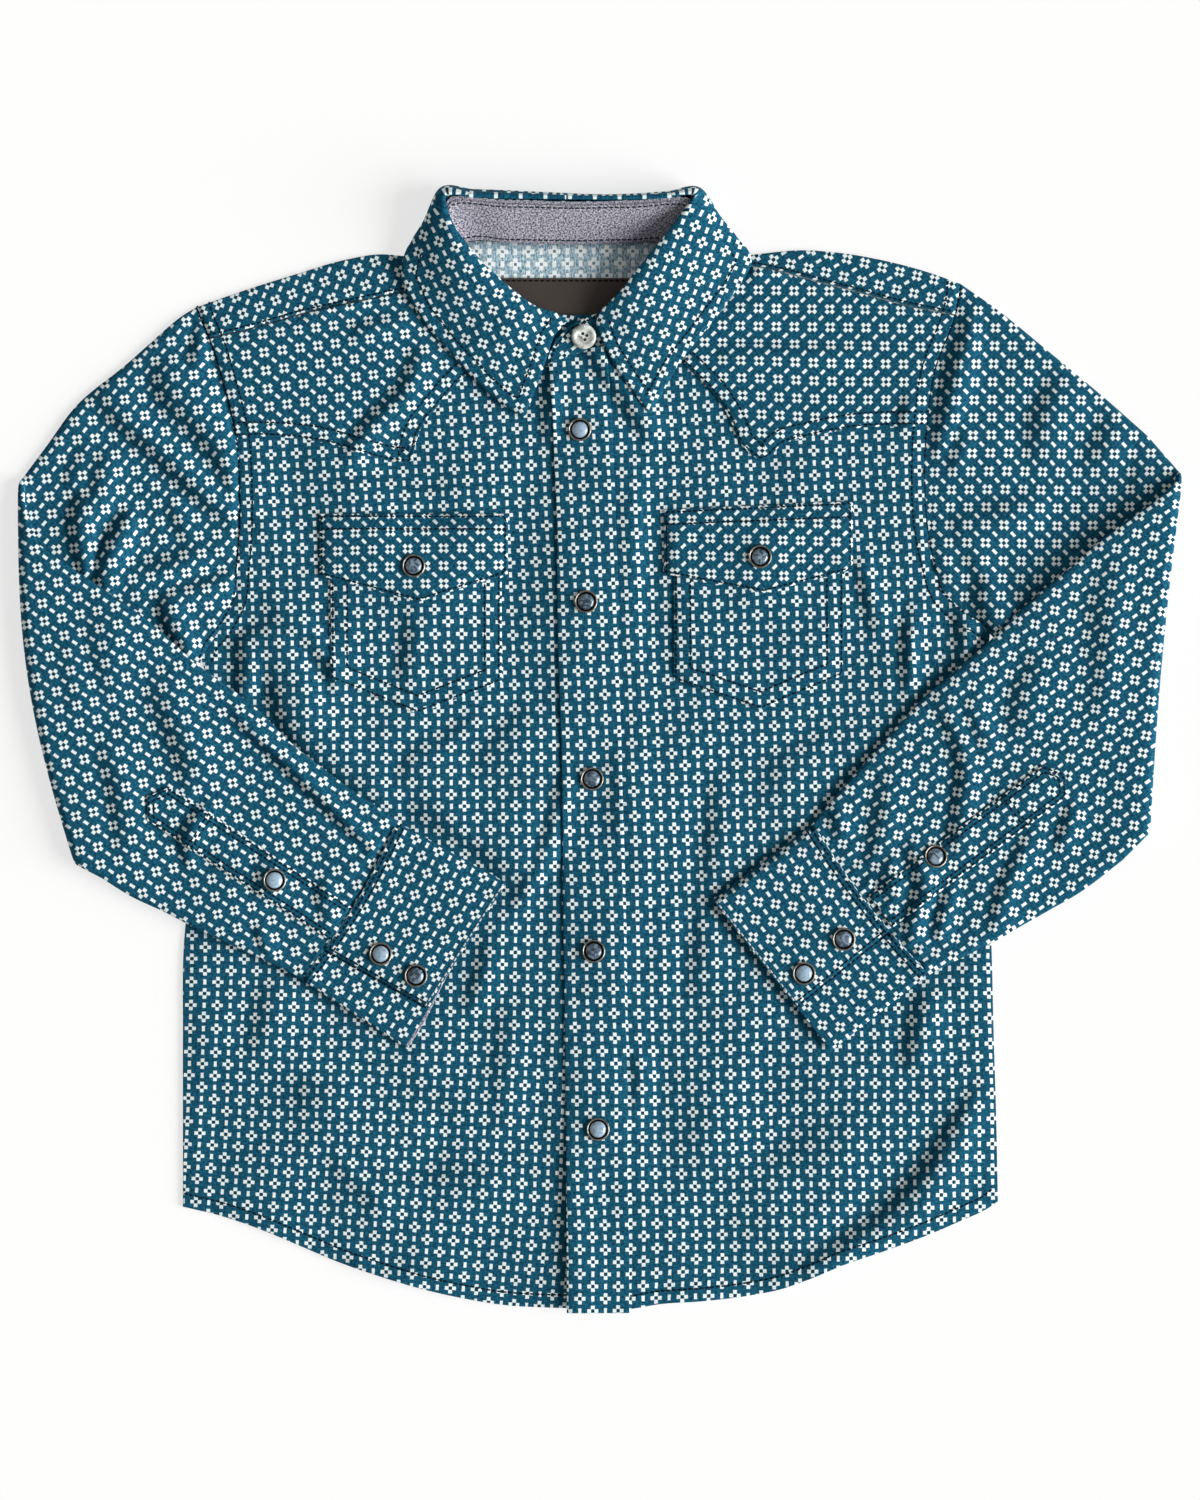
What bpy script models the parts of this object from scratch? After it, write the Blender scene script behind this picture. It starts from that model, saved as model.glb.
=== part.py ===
"""Child's western snap shirt, laid flat on its back with both sleeves folded across the front.

Metres, +Z up. The shirt lies on Z = 0, +Y points to the collar and +X to the wearer's left.
Lengths in the tables are millimetres and MM turns them into metres. Right and left are the
wearer's. Every piece of cloth is a wall built from the middle surface of its grid of points.
"""
import math

import bmesh
import bpy
import numpy as np

MM = 0.001

# Cloth and seams
WALL = 1.0
GAP = 0.3
LAYER = WALL + GAP
STAND_WALL = 1.2

# Body of the shirt
BACK_MID = 0.5 * WALL
FRONT_UNDERSIDE = WALL + GAP
BODY_CROWN = 0.9
BODY_HALF_WIDTH = 186.0
BODY_CENTRE_X = -4.0
CROWN_TOP_START = 172.0
CROWN_TOP_FULL = 120.0
LAP_FLAT_TO = 17.0
LAP_DOWN_AT = 30.0
UNDERLAP_X = 9.0
YOKE_SEAM_NODE = 6
SEAM_SLACK = 0.3

FRONT_COLUMNS = (0.0, 0.1, 0.2, 0.29, 0.38, 0.47, 0.56, 0.64, 0.71, 0.77, 0.83, 0.89, 0.94, 1.0)

# The collar's back leaf lies under the back yoke, which rises over it
NECK_CENTRE_X = -11.0
NECK_RAISE = 1.6
NECK_RAISE_FROM = 224.0
NECK_RAISE_FULL = 231.5
NECK_HALF_WIDTH = 66.0
NECK_HALF_WIDTH_END = 92.0

# Chambray lining of the stand, across the back of the neck: its foot is y, z
LINING_X = (-59.0, 26.0)
LINING_CENTRE_X = -16.0
LINING_HALF_WIDTH = 42.0
LINING_FLARE = 5.0
LINING_FOOT = (234.1, 5.2)
LINING_RISE = (16.0, 9.9)
LINING_COLUMNS = 10

# Neck label: y of its rows and x of its columns
LABEL_ROWS = (197.6, 204.0, 210.5, 217.0)
LABEL_COLUMNS = (-46.0, -31.0, -16.0, -1.0, 14.3)

# Sleeves: flattened tubes, folded at the elbow so that the forearm lies on the upper arm
SLEEVE_HALF = 1.6
ARMHOLE_HALF = 1.3
ARMHOLE_GAP = 0.55
FOREARM_UNDERSIDE = 4.1
FOLD_STEPS = 5
EDGE_ROUND = 0.55
SLEEVE_RINGS_UPPER = 6
SLEEVE_RINGS_LOWER = 11

# Cuffs: a band whose end laps over its beginning
CUFF_UNDERSIDE = 4.1
CUFF_LAYER_RISE = 1.35
CUFF_UNDERLAP_TO = 0.60
CUFF_RINGS = 5

# Snaps and the collar button
SNAP_RADIUS = 5.3
SNAP_RING_HEIGHT = 1.5
SNAP_RING_BORE = 3.95
PEARL_RADIUS = 3.65
PEARL_HEIGHT = 2.1
SNAP_SIDES = 12
BUTTON_RADIUS = 5.75
BUTTON_HEIGHT = 2.0
BUTTON_HOLE_RADIUS = 0.8
BUTTON_HOLE_OFFSET = 1.5
BUTTON_SIDES = 20

# Armhole seams from the shoulder fold to the underarm: x, y
ARMHOLE_RIGHT = ((-185.0, 203.8), (-183.5, 199.2), (-179.4, 189.5), (-172.5, 167.4),
                 (-167.0, 144.0), (-165.6, 122.0), (-165.6, 101.2), (-167.0, 83.3),
                 (-168.4, 69.5), (-173.9, 58.4), (-182.0, 47.4), (-183.5, 43.2))
ARMHOLE_LEFT = ((165.6, 214.4), (165.0, 208.5), (163.0, 200.0), (153.2, 173.0),
                (150.4, 153.6), (149.0, 129.0), (150.4, 101.2), (153.2, 87.4),
                (158.7, 70.8), (168.0, 62.5), (176.0, 58.0), (179.4, 55.2))

# Side seams from the underarm to the hem: x, y
SIDE_RIGHT = ((-183.5, 43.2), (-175.0, 29.0), (-180.0, 0.0), (-187.0, -50.0),
              (-191.4, -90.0), (-191.8, -130.0), (-191.8, -170.0), (-191.8, -210.0))
SIDE_LEFT = ((179.4, 55.2), (177.5, 30.0), (177.5, 0.0), (178.5, -45.0),
             (179.4, -88.8), (179.6, -130.0), (180.8, -168.0), (183.0, -207.5))

# Hem: x, y
HEM = ((-191.8, -210.0), (-174.0, -214.3), (-156.4, -220.3), (-137.5, -228.2), (-121.4, -235.0),
       (-101.2, -242.0), (-81.0, -248.0), (-63.5, -252.0), (-47.4, -254.8), (-15.0, -256.6),
       (14.0, -257.0), (27.6, -254.8), (46.5, -253.5), (68.0, -251.0), (83.0, -248.0),
       (96.0, -243.4), (111.3, -236.9), (130.2, -230.5), (150.4, -223.1), (166.5, -216.2),
       (178.5, -210.7), (183.0, -207.5))

# Top edges of the fronts, along the shoulder seam and then the neckline: x, y
TOP_RIGHT = ((-179.4, 189.0), (-157.0, 194.5), (-138.0, 200.0), (-113.0, 205.6), (-91.0, 210.4),
             (-78.0, 212.6), (-70.0, 209.0), (-58.8, 197.8), (-42.6, 185.8), (-24.5, 176.6),
             (-6.0, 172.6), (12.0, 172.2))
TOP_LEFT = ((-24.5, 175.6), (-14.0, 173.6), (-2.0, 173.4), (12.5, 176.6), (25.8, 186.6),
            (37.0, 198.6), (45.6, 210.6), (51.0, 218.0), (58.0, 222.4), (70.0, 222.0),
            (83.0, 219.6), (100.7, 214.8), (118.7, 210.2), (138.0, 204.8), (163.0, 199.6))

# Fold of the shoulders, from armhole to neck point, and the seam in front of it: x, y
SHOULDER_RIGHT = ((-185.0, 203.8), (-162.8, 211.6), (-140.8, 218.5), (-117.3, 225.4),
                  (-100.7, 228.0), (-90.6, 227.2), (-77.0, 226.0))
SHOULDER_LEFT = ((165.6, 214.4), (151.8, 219.4), (131.0, 225.0), (110.4, 228.6),
                 (91.0, 229.8), (77.3, 228.6), (57.0, 226.0))
STRIP_END_RIGHT = ((-179.4, 189.6), (-157.0, 195.1), (-138.0, 200.6), (-113.0, 206.2),
                   (-91.0, 211.0), (-78.0, 213.3))
STRIP_END_LEFT = ((163.0, 200.3), (138.0, 205.5), (118.7, 210.9), (100.7, 215.5),
                  (83.0, 220.3), (70.0, 222.7), (58.0, 223.1))

# Back neckline between the neck points: x, y
BACK_NECK = ((-77.0, 226.0), (-72.0, 228.6), (-64.0, 231.9), (-40.0, 232.2), (-12.0, 231.8),
             (14.0, 232.2), (30.0, 232.4), (45.0, 229.6), (57.0, 226.0))

# Front placket edges, from the neck down: y, x on its open edge, x on its stitched edge
PLACKET = ((171.5, -23.0, 3.8), (160.0, -21.8, 4.9), (138.0, -21.2, 5.9), (116.0, -20.2, 6.9),
           (88.0, -19.8, 7.8), (49.0, -19.3, 8.7), (0.0, -17.8, 9.9), (-69.0, -17.0, 11.2),
           (-161.0, -15.8, 12.6), (-258.8, -15.2, 13.8))

# Lower edges of the front yokes, from the armhole to the neck: x, y
YOKE_FOOT_RIGHT = ((-166.0, 144.0), (-151.8, 144.0), (-127.0, 141.3), (-110.4, 136.6),
                   (-97.0, 133.0), (-87.0, 132.0), (-82.3, 148.0), (-74.1, 158.7),
                   (-64.9, 169.3), (-60.0, 174.0))
YOKE_FOOT_LEFT = ((150.5, 149.0), (115.9, 147.7), (96.6, 144.0), (82.8, 139.8), (77.5, 134.4),
                  (73.0, 133.2), (65.3, 139.8), (59.8, 151.8), (51.5, 164.7), (38.6, 177.6))

# Patch pockets and their flaps: x of both sides, y of the top, and y of the foot at the first
# side, the point and the second side; the two numbers of a top are its height at each side
POCKET_RIGHT = {"x": (-124.0, -45.2), "point_x": -83.7, "top": (101.0, 101.0),
                "foot": (32.6, 16.6, 31.4)}
POCKET_LEFT = {"x": (33.8, 112.2), "point_x": 74.1, "top": (103.0, 106.5),
               "foot": (32.2, 18.4, 34.5)}
FLAP_RIGHT = {"x": (-129.0, -42.4), "point_x": -83.3, "top": (108.6, 108.6),
              "foot": (80.2, 68.1, 81.0)}
FLAP_LEFT = {"x": (29.4, 116.2), "point_x": 75.4, "top": (110.4, 114.5),
             "foot": (81.0, 72.2, 82.8)}

# Stand: seam with the neckline and top edge, from the lapped-under end round to the tab
# seam x, y, z, top x, y, z
STAND = ((6.0, 173.5, 1.85, 5.0, 199.5, 3.3),
         (-6.0, 173.8, 1.85, -5.0, 200.0, 3.4),
         (-24.0, 178.0, 1.9, -20.0, 200.5, 3.5),
         (-42.0, 187.0, 2.3, -34.0, 206.5, 6.0),
         (-58.0, 199.0, 3.2, -46.0, 216.5, 11.0),
         (-69.0, 210.5, 4.6, -57.0, 227.0, 14.8),
         (-75.0, 220.0, 5.2, -66.0, 239.0, 16.0),
         (-73.0, 229.0, 4.6, -71.0, 248.0, 16.0),
         (-64.0, 233.0, 3.4, -70.0, 252.5, 15.5),
         (-40.0, 233.2, 3.4, -44.0, 252.5, 15.0),
         (-12.0, 232.8, 3.4, -10.0, 251.8, 15.0),
         (14.0, 233.2, 3.4, 18.0, 252.5, 15.0),
         (30.0, 233.6, 3.4, 40.5, 253.0, 15.5),
         (46.0, 231.0, 4.6, 42.0, 247.5, 16.0),
         (49.5, 222.0, 5.6, 35.0, 240.0, 16.0),
         (45.0, 211.0, 5.2, 27.0, 231.0, 15.2),
         (36.0, 199.0, 4.6, 18.5, 220.0, 12.8),
         (25.0, 187.4, 4.2, 9.0, 208.5, 9.4),
         (12.0, 177.8, 4.1, 1.0, 201.5, 6.4),
         (-2.0, 174.6, 4.1, -4.5, 199.6, 4.9),
         (-14.0, 174.8, 4.1, -14.5, 194.6, 4.5),
         (-21.5, 175.8, 4.1, -21.5, 186.5, 4.4),
         (-24.4, 176.6, 4.1, -24.2, 179.4, 4.2))

# Leaf: sections from the front edge of the right leaf, round the back, to the left leaf.
# Five points from the roll to the outer edge: x, y, z each
LEAF = ((-15.0, 197.0, 5.9, -18.0, 194.0, 6.3, -21.6, 189.0, 6.3, -25.5, 177.0, 5.9, -34.5, 153.0, 4.2),
        (-20.0, 200.8, 6.7, -24.0, 197.0, 7.2, -29.0, 189.0, 7.0, -35.0, 177.0, 6.1, -45.0, 158.7, 4.5),
        (-28.5, 203.5, 8.0, -32.0, 199.0, 8.8, -38.0, 190.0, 8.0, -45.0, 180.0, 6.6, -54.3, 167.0, 5.2),
        (-37.7, 209.5, 10.6, -42.0, 205.0, 11.2, -49.0, 198.5, 9.2, -59.0, 191.0, 7.0, -70.8, 184.5, 5.6),
        (-48.3, 218.6, 13.7, -53.0, 215.0, 14.2, -61.0, 210.0, 11.5, -71.0, 205.0, 8.0, -83.7, 201.0, 5.9),
        (-58.9, 228.4, 16.2, -63.0, 226.5, 17.0, -71.0, 223.0, 14.0, -80.0, 220.0, 9.5, -91.0, 217.6, 6.6),
        (-66.0, 238.8, 17.2, -69.5, 238.5, 17.6, -77.0, 236.0, 14.5, -85.0, 234.0, 9.5, -87.5, 231.5, 6.8),
        (-70.0, 248.5, 17.3, -72.5, 249.0, 17.6, -77.5, 248.0, 13.5, -79.5, 244.5, 6.5, -77.5, 237.5, 1.7),
        (-70.5, 253.9, 17.0, -72.0, 255.0, 17.2, -73.6, 256.6, 12.5, -73.6, 255.2, 3.5, -70.5, 235.0, 0.75),
        (-57.0, 253.4, 16.7, -57.5, 254.9, 17.0, -58.0, 256.6, 12.3, -58.0, 255.2, 2.6, -57.0, 232.0, 0.65),
        (-26.0, 252.9, 16.5, -26.0, 254.3, 16.8, -26.0, 255.6, 12.2, -26.0, 254.2, 2.4, -26.0, 231.6, 0.65),
        (5.0, 252.7, 16.5, 5.0, 253.7, 16.8, 5.0, 254.7, 12.2, 5.0, 253.2, 2.4, 5.0, 231.6, 0.65),
        (30.0, 253.2, 16.7, 30.5, 254.6, 17.0, 31.0, 255.8, 12.3, 31.0, 254.4, 2.6, 30.0, 232.0, 0.65),
        (43.0, 254.3, 17.0, 44.0, 255.7, 17.2, 45.6, 257.0, 12.5, 46.0, 255.6, 3.5, 43.0, 234.5, 0.75),
        (39.0, 248.5, 17.3, 42.0, 249.3, 17.7, 50.0, 250.0, 13.5, 53.5, 246.5, 6.5, 51.5, 239.5, 1.7),
        (32.0, 239.0, 17.2, 36.0, 238.0, 17.7, 48.0, 238.0, 15.0, 60.0, 236.5, 9.8, 65.0, 232.5, 6.8),
        (24.5, 229.5, 16.6, 29.0, 228.0, 17.2, 41.0, 227.0, 14.8, 56.0, 226.0, 10.4, 69.5, 224.5, 7.0),
        (17.0, 220.5, 14.4, 21.5, 218.0, 15.0, 33.0, 215.5, 12.8, 47.0, 213.0, 9.3, 62.0, 210.7, 6.2),
        (9.5, 211.0, 11.2, 14.0, 208.0, 12.0, 24.0, 203.0, 10.3, 35.0, 197.5, 8.0, 47.0, 191.0, 6.0),
        (3.0, 204.5, 8.8, 7.5, 201.0, 9.4, 16.0, 193.5, 8.8, 25.0, 185.0, 7.6, 35.0, 175.5, 6.2),
        (-0.5, 200.6, 7.4, 3.0, 197.0, 7.8, 9.5, 187.0, 7.6, 17.0, 174.5, 7.0, 26.5, 160.0, 6.2),
        (-1.6, 196.6, 6.8, -0.4, 191.5, 7.1, 2.7, 184.0, 7.2, 10.5, 171.0, 6.8, 22.0, 155.3, 6.3))

# Sleeves: rows from the armhole to the elbow, then from the elbow to the cuff seam.
# Upper edge x, y, underarm edge x, y, height of the underside at each edge
UPPER_ARM_RIGHT = ((-185.0, 203.8, -183.5, 43.2, 0.0, 0.0),
                   (-196.0, 196.5, -189.0, 36.0, 0.0, 0.0),
                   (-218.0, 177.0, -196.5, 17.0, 0.0, 0.0),
                   (-240.0, 159.0, -208.0, -3.0, 0.0, 0.0),
                   (-255.0, 139.0, -222.0, -28.0, 0.0, 0.0))
ELBOW_RIGHT = {"upper": (-267.6, 121.5), "under": (-239.4, -52.0), "bulge": 7.0}
FOREARM_RIGHT = ((-258.0, 93.5, -229.0, -58.5, 4.1, 3.6),
                 (-231.0, 75.5, -215.0, -67.2, 4.1, 3.0),
                 (-207.0, 58.5, -200.0, -74.2, 4.1, 3.2),
                 (-184.5, 38.5, -185.0, -82.0, 4.1, 3.9),
                 (-159.2, 20.0, -171.0, -88.6, 4.1, 4.1),
                 (-142.1, 3.0, -160.5, -93.4, 4.1, 4.1),
                 (-118.2, -15.6, -148.5, -99.0, 4.1, 4.1),
                 (-102.0, -26.6, -140.0, -103.6, 4.1, 4.1),
                 (-91.9, -33.8, -136.0, -106.2, 4.1, 4.1))
UPPER_ARM_LEFT = ((165.6, 214.4, 179.4, 55.2, 0.0, 0.0),
                  (185.0, 200.6, 186.0, 47.5, 0.0, 0.0),
                  (207.0, 182.6, 197.0, 28.0, 0.0, 0.0),
                  (231.8, 162.0, 214.0, 6.0, 0.0, 0.0),
                  (252.0, 144.2, 233.0, -17.0, 0.0, 0.0))
ELBOW_LEFT = {"upper": (267.8, 125.5), "under": (253.0, -37.3), "bulge": 1.0}
FOREARM_LEFT = ((254.5, 113.8, 240.0, -50.4, 4.1, 3.6),
                (234.6, 99.8, 222.0, -64.2, 4.1, 3.0),
                (214.0, 82.0, 206.0, -73.6, 4.1, 3.0),
                (193.2, 64.0, 192.5, -81.2, 4.1, 3.6),
                (179.4, 50.1, 183.0, -86.8, 4.1, 4.1),
                (160.1, 33.6, 173.0, -91.8, 4.1, 4.1),
                (143.5, 18.4, 165.5, -95.6, 4.1, 4.1),
                (115.0, -13.8, 156.0, -100.2, 4.1, 4.1),
                (96.8, -35.2, 149.8, -104.0, 4.1, 4.1))

# Cuffs: seam and wrist edges at the upper and under fold, and where the top end laps over
# The seam bows towards the wrist
CUFF_RIGHT = {"seam": ((-91.4, -34.4), (-135.5, -106.9)), "seam_bow": 3.0,
              "wrist": ((-43.2, -61.4), (-91.3, -136.4)),
              "lap": (0.79, 0.755), "wrist_under": 1.6}
CUFF_LEFT = {"seam": ((96.2, -35.8), (149.2, -104.6)), "seam_bow": 2.4,
             "wrist": ((52.0, -69.5), (106.3, -138.5)),
             "lap": (0.69, 0.70), "wrist_under": 0.0}

# Tower plackets of the sleeves: middle line from the cuff seam to the tower's point, and width
TOWER_RIGHT = {"start": (-118.4, -80.3), "end": (-203.0, -24.6), "width": 18.4, "point": 6.0}
TOWER_LEFT = {"start": (129.0, -74.0), "end": (209.0, -14.2), "width": 18.4, "point": 6.0}

# Soft ridges and troughs of the fronts: x, y of both ends, height, half width
FRONT_FOLDS = ((174.0, -156.0, 146.0, -198.0, 1.5, 9.0),
               (146.0, -200.0, 92.0, -236.0, 1.3, 10.0),
               (65.0, -119.0, 29.0, -157.0, 0.7, 8.0),
               (-143.0, -147.0, -81.0, -177.0, 0.9, 9.0),
               (-157.0, 69.5, -131.0, 46.0, 0.9, 6.0),
               (-112.0, 124.0, -64.0, 114.0, 0.5, 6.0))

# Soft ridges of the sleeves' upper layers: x, y of both ends, height, half width
UPPER_ARM_FOLDS = ((-226.0, 151.0, -170.0, 107.0, 1.2, 8.0),
                   (-218.0, 69.0, -168.0, 80.0, 1.3, 6.0),
                   (-242.0, 92.0, -230.0, 76.0, 1.0, 6.0),
                   (236.0, 129.0, 244.0, 92.0, 1.2, 7.0),
                   (214.0, 120.0, 160.0, 92.0, 0.9, 9.0))
FOREARM_FOLDS = ((-160.0, 10.0, -103.0, -48.0, 1.1, 5.0),
                 (-253.0, 55.0, -197.0, -1.0, 1.1, 9.0),
                 (240.0, 60.0, 190.0, 20.0, 0.9, 9.0))

# Snaps: name, x, y, and the piece they sit on
SNAPS = (("front_1", -9.2, 147.2, "placket"), ("front_2", -6.4, 68.1, "placket"),
         ("front_3", -3.7, -13.3, "placket"), ("front_4", -2.8, -92.5, "placket"),
         ("front_5", -0.9, -174.3, "placket"), ("flap_right", -85.6, 84.6, "flap_right"),
         ("flap_left", 73.6, 88.8, "flap_left"), ("cuff_right_1", -100.7, -93.8, "cuff"),
         ("cuff_right_2", -84.6, -103.7, "cuff"), ("cuff_left_1", 93.8, -102.6, "cuff"),
         ("cuff_left_2", 112.0, -86.9, "cuff"), ("sleeve_right", -149.5, -59.8, "tower"),
         ("sleeve_left", 154.1, -49.0, "tower"))
BUTTON_AT = (-7.4, 190.0, 5.55)

# Colours, linear RGB
TEAL = (0.014, 0.090, 0.165)
TEAL_DARK = (0.010, 0.060, 0.120)
CHAMBRAY = (0.155, 0.155, 0.230)
LABEL_BROWN = (0.026, 0.018, 0.014)
NICKEL = (0.480, 0.420, 0.350)
PEARL_BLUE = (0.150, 0.230, 0.330)
BUTTON_PEARL = (0.620, 0.600, 0.520)


def smoothstep(start, stop, value):
    """0 at start, 1 at stop, with level ends."""
    part = np.clip((value - start) / (stop - start), 0.0, 1.0)
    return part * part * (3.0 - 2.0 * part)


def curve_through(values, knots, where):
    """Smooth curve through the values at rising knots, read at where."""
    values = np.asarray(values, float)
    knots = np.asarray(knots, float)
    slopes = np.gradient(values, knots, axis=0)
    index = int(np.clip(np.searchsorted(knots, where, "right") - 1, 0, len(knots) - 2))
    span = knots[index + 1] - knots[index]
    t = min(max((where - knots[index]) / span, 0.0), 1.0)
    ease = t * t * (3.0 - 2.0 * t)
    pull_in = t * (1.0 - t) ** 2 * span
    pull_out = t * t * (1.0 - t) * span
    level = values[index] * (1.0 - ease) + values[index + 1] * ease
    return level + slopes[index] * pull_in - slopes[index + 1] * pull_out


def height_at(table, x):
    """y of an edge table of (x, y) rows at x."""
    rows = sorted(table)
    return np.interp(x, [row[0] for row in rows], [row[1] for row in rows])


def side_x(armhole, side, y):
    """x of the armhole and side seam at height y."""
    rows = sorted({(row[1], row[0]) for row in armhole + side})
    return np.interp(y, [row[0] for row in rows], [row[1] for row in rows])


def placket_edge(y, column):
    """x of the placket's open edge (column 1) or stitched edge (column 2) at height y."""
    rows = PLACKET[::-1]
    return np.interp(y, [row[0] for row in rows], [row[column] for row in rows])


def folds(rows, x, y):
    """Sum of the soft ridges at a place: each fades across its width and towards its ends."""
    total = 0.0
    for x0, y0, x1, y1, height, width in rows:
        length = math.hypot(x1 - x0, y1 - y0)
        along = ((x - x0) * (x1 - x0) + (y - y0) * (y1 - y0)) / length
        across = ((x - x0) * (y1 - y0) - (y - y0) * (x1 - x0)) / length
        end = 0.22 * length
        fade = smoothstep(-end, end, along) * smoothstep(length + end, length - end, along)
        total += height * fade * math.exp(-(across / width) ** 2)
    return total


def neck_raise(x, y):
    """How far the back yoke rises over the collar's back leaf."""
    from_centre = abs(x - NECK_CENTRE_X)
    across = smoothstep(NECK_HALF_WIDTH_END, NECK_HALF_WIDTH, from_centre)
    return NECK_RAISE * across * smoothstep(NECK_RAISE_FROM, NECK_RAISE_FULL, y)


def crown(x, y):
    """Slack of the fronts over the back, none at the edges."""
    across = max(0.0, 1.0 - ((x - BODY_CENTRE_X) / BODY_HALF_WIDTH) ** 4)
    return BODY_CROWN * across * smoothstep(CROWN_TOP_START, CROWN_TOP_FULL, y)


def front_mid(x, y):
    """Height of the right front's middle surface."""
    edge = smoothstep(BODY_HALF_WIDTH, BODY_HALF_WIDTH - 14.0, abs(x - BODY_CENTRE_X))
    return FRONT_UNDERSIDE + 0.5 * WALL + crown(x, y) + folds(FRONT_FOLDS, x, y) * edge


def left_front_mid(x, y):
    """Height of the left front's middle surface, which laps over the right front."""
    return front_mid(x, y) + LAYER * smoothstep(LAP_DOWN_AT, LAP_FLAT_TO, x)


def material(name, colour, roughness, metallic=0.0):
    """Plain Principled material of one piece."""
    made = bpy.data.materials.new(name)
    made.use_nodes = True
    shader = made.node_tree.nodes["Principled BSDF"]
    shader.inputs["Base Color"].default_value = (*colour, 1.0)
    shader.inputs["Roughness"].default_value = roughness
    shader.inputs["Metallic"].default_value = metallic
    made.diffuse_color = (*colour, 1.0)
    return made


def new_object(name, mesh, collection, colour, roughness=0.85, metallic=0.0):
    """Object of a mesh, with its own material, in the shirt's collection."""
    made = bpy.data.objects.new(name, mesh)
    mesh.materials.append(material(name, colour, roughness, metallic))
    collection.objects.link(made)
    return made


def grid_mesh(name, points):
    """Open surface of the grid's cells; points maps (row, column) to x, y, z in millimetres."""
    body = bmesh.new()
    corner = {key: body.verts.new([value * MM for value in place]) for key, place in points.items()}
    for row, column in points:
        ring = ((row, column), (row, column + 1), (row + 1, column + 1), (row + 1, column))
        if all(key in corner for key in ring):
            body.faces.new([corner[key] for key in ring])
    mesh = bpy.data.meshes.new(name)
    body.to_mesh(mesh)
    body.free()
    return mesh


def cloth(name, points, collection, colour, wall=WALL):
    """Wall of cloth, half its thickness on each side of the grid's middle surface."""
    mesh = grid_mesh(name, points)
    for face in mesh.polygons:
        face.use_smooth = True
    piece = new_object(name, mesh, collection, colour)
    solid = piece.modifiers.new("Wall", "SOLIDIFY")
    solid.thickness = wall * MM
    solid.offset = 0.0
    solid.use_even_offset = False
    solid.use_quality_normals = True
    return piece


def fractions(count):
    """Even fractions from 0 to 1 over count cells."""
    return [index / count for index in range(count + 1)]


def panel_rows(armhole, side, top, skip):
    """Fractions up a panel whose side edge passes through every armhole and side point."""
    rows = []
    for x, y in (side[::-1] + armhole[::-1][1:]):
        foot = height_at(HEM, x)
        rows.append((y - foot) / (height_at(top, x) - foot))
    rows = rows[:-skip] + [1.0]
    finer = [0.5 * (low + high) for low, high in zip(rows[-5:-1], rows[-4:])]
    return sorted(rows + finer)


def panel_points(rows, columns, outer, inner, foot, top, height):
    """Grid of a panel between two side edges (x of y), a foot and a top edge (y of x)."""
    points = {}
    for i, up in enumerate(rows):
        for j, across in enumerate(columns):
            y = -230.0 + up * 420.0
            for _ in range(12):
                x = outer(y) + across * (inner(y) - outer(y))
                y = foot(x) + up * (top(x) - foot(x))
            points[(i, j)] = (x, y, height(x, y))
    return points


def make_fronts(collection):
    """The right front and, lapped over it, the left front."""
    right = panel_points(
        panel_rows(ARMHOLE_RIGHT, SIDE_RIGHT, TOP_RIGHT, 2), FRONT_COLUMNS,
        lambda y: side_x(ARMHOLE_RIGHT, SIDE_RIGHT, y), lambda y: UNDERLAP_X,
        lambda x: height_at(HEM, x), lambda x: height_at(TOP_RIGHT, x), front_mid)
    cloth("front_right", right, collection, TEAL)
    left = panel_points(
        panel_rows(ARMHOLE_LEFT, SIDE_LEFT, TOP_LEFT, 2), [1.0 - part for part in FRONT_COLUMNS],
        lambda y: side_x(ARMHOLE_LEFT, SIDE_LEFT, y), lambda y: placket_edge(y, 1),
        lambda x: height_at(HEM, x), lambda x: height_at(TOP_LEFT, x), left_front_mid)
    cloth("front_left", left, collection, TEAL)


def patch_between(left, right, foot, top):
    """Grid of x, y filled in smoothly between four edges; foot and top run from left to right."""
    left, right = np.asarray(left, float), np.asarray(right, float)
    foot, top = np.asarray(foot, float), np.asarray(top, float)
    across = (foot[:, 0] - foot[0, 0]) / (foot[-1, 0] - foot[0, 0])
    reach = (top[:, 0] - top[0, 0]) / (top[-1, 0] - top[0, 0])
    steps = np.linalg.norm(np.diff(left, axis=0), axis=1)
    up = np.concatenate(([0.0], np.cumsum(steps))) / steps.sum()
    grid = np.empty((len(left), len(foot), 2))
    for i, v in enumerate(up):
        for j in range(len(foot)):
            u = across[j] * (1.0 - v) + reach[j] * v
            sides = left[i] * (1.0 - u) + right[i] * u
            ends = foot[j] * (1.0 - v) + top[j] * v
            corners = ((foot[0] * (1.0 - u) + foot[-1] * u) * (1.0 - v)
                       + (top[0] * (1.0 - u) + top[-1] * u) * v)
            grid[i, j] = sides + ends - corners
    return grid


def make_back(collection):
    """The back, flat on the ground, up to its seam with the yoke."""
    left = (SIDE_RIGHT[::-1] + ARMHOLE_RIGHT[:YOKE_SEAM_NODE - 1:-1][1:])
    right = (SIDE_LEFT[::-1] + ARMHOLE_LEFT[:YOKE_SEAM_NODE - 1:-1][1:])
    foot = HEM[::2] if len(HEM) % 2 else HEM[::2] + HEM[-1:]
    top = [(x, left[-1][1]) for x in np.linspace(left[-1][0], right[-1][0], len(foot))]
    grid = patch_between(left, right, foot, top)
    grid[-1, :, 1] -= GAP
    points = {(i, j): (*grid[i, j], BACK_MID) for i, j in np.ndindex(grid.shape[:2])}
    cloth("back", points, collection, TEAL)


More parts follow.
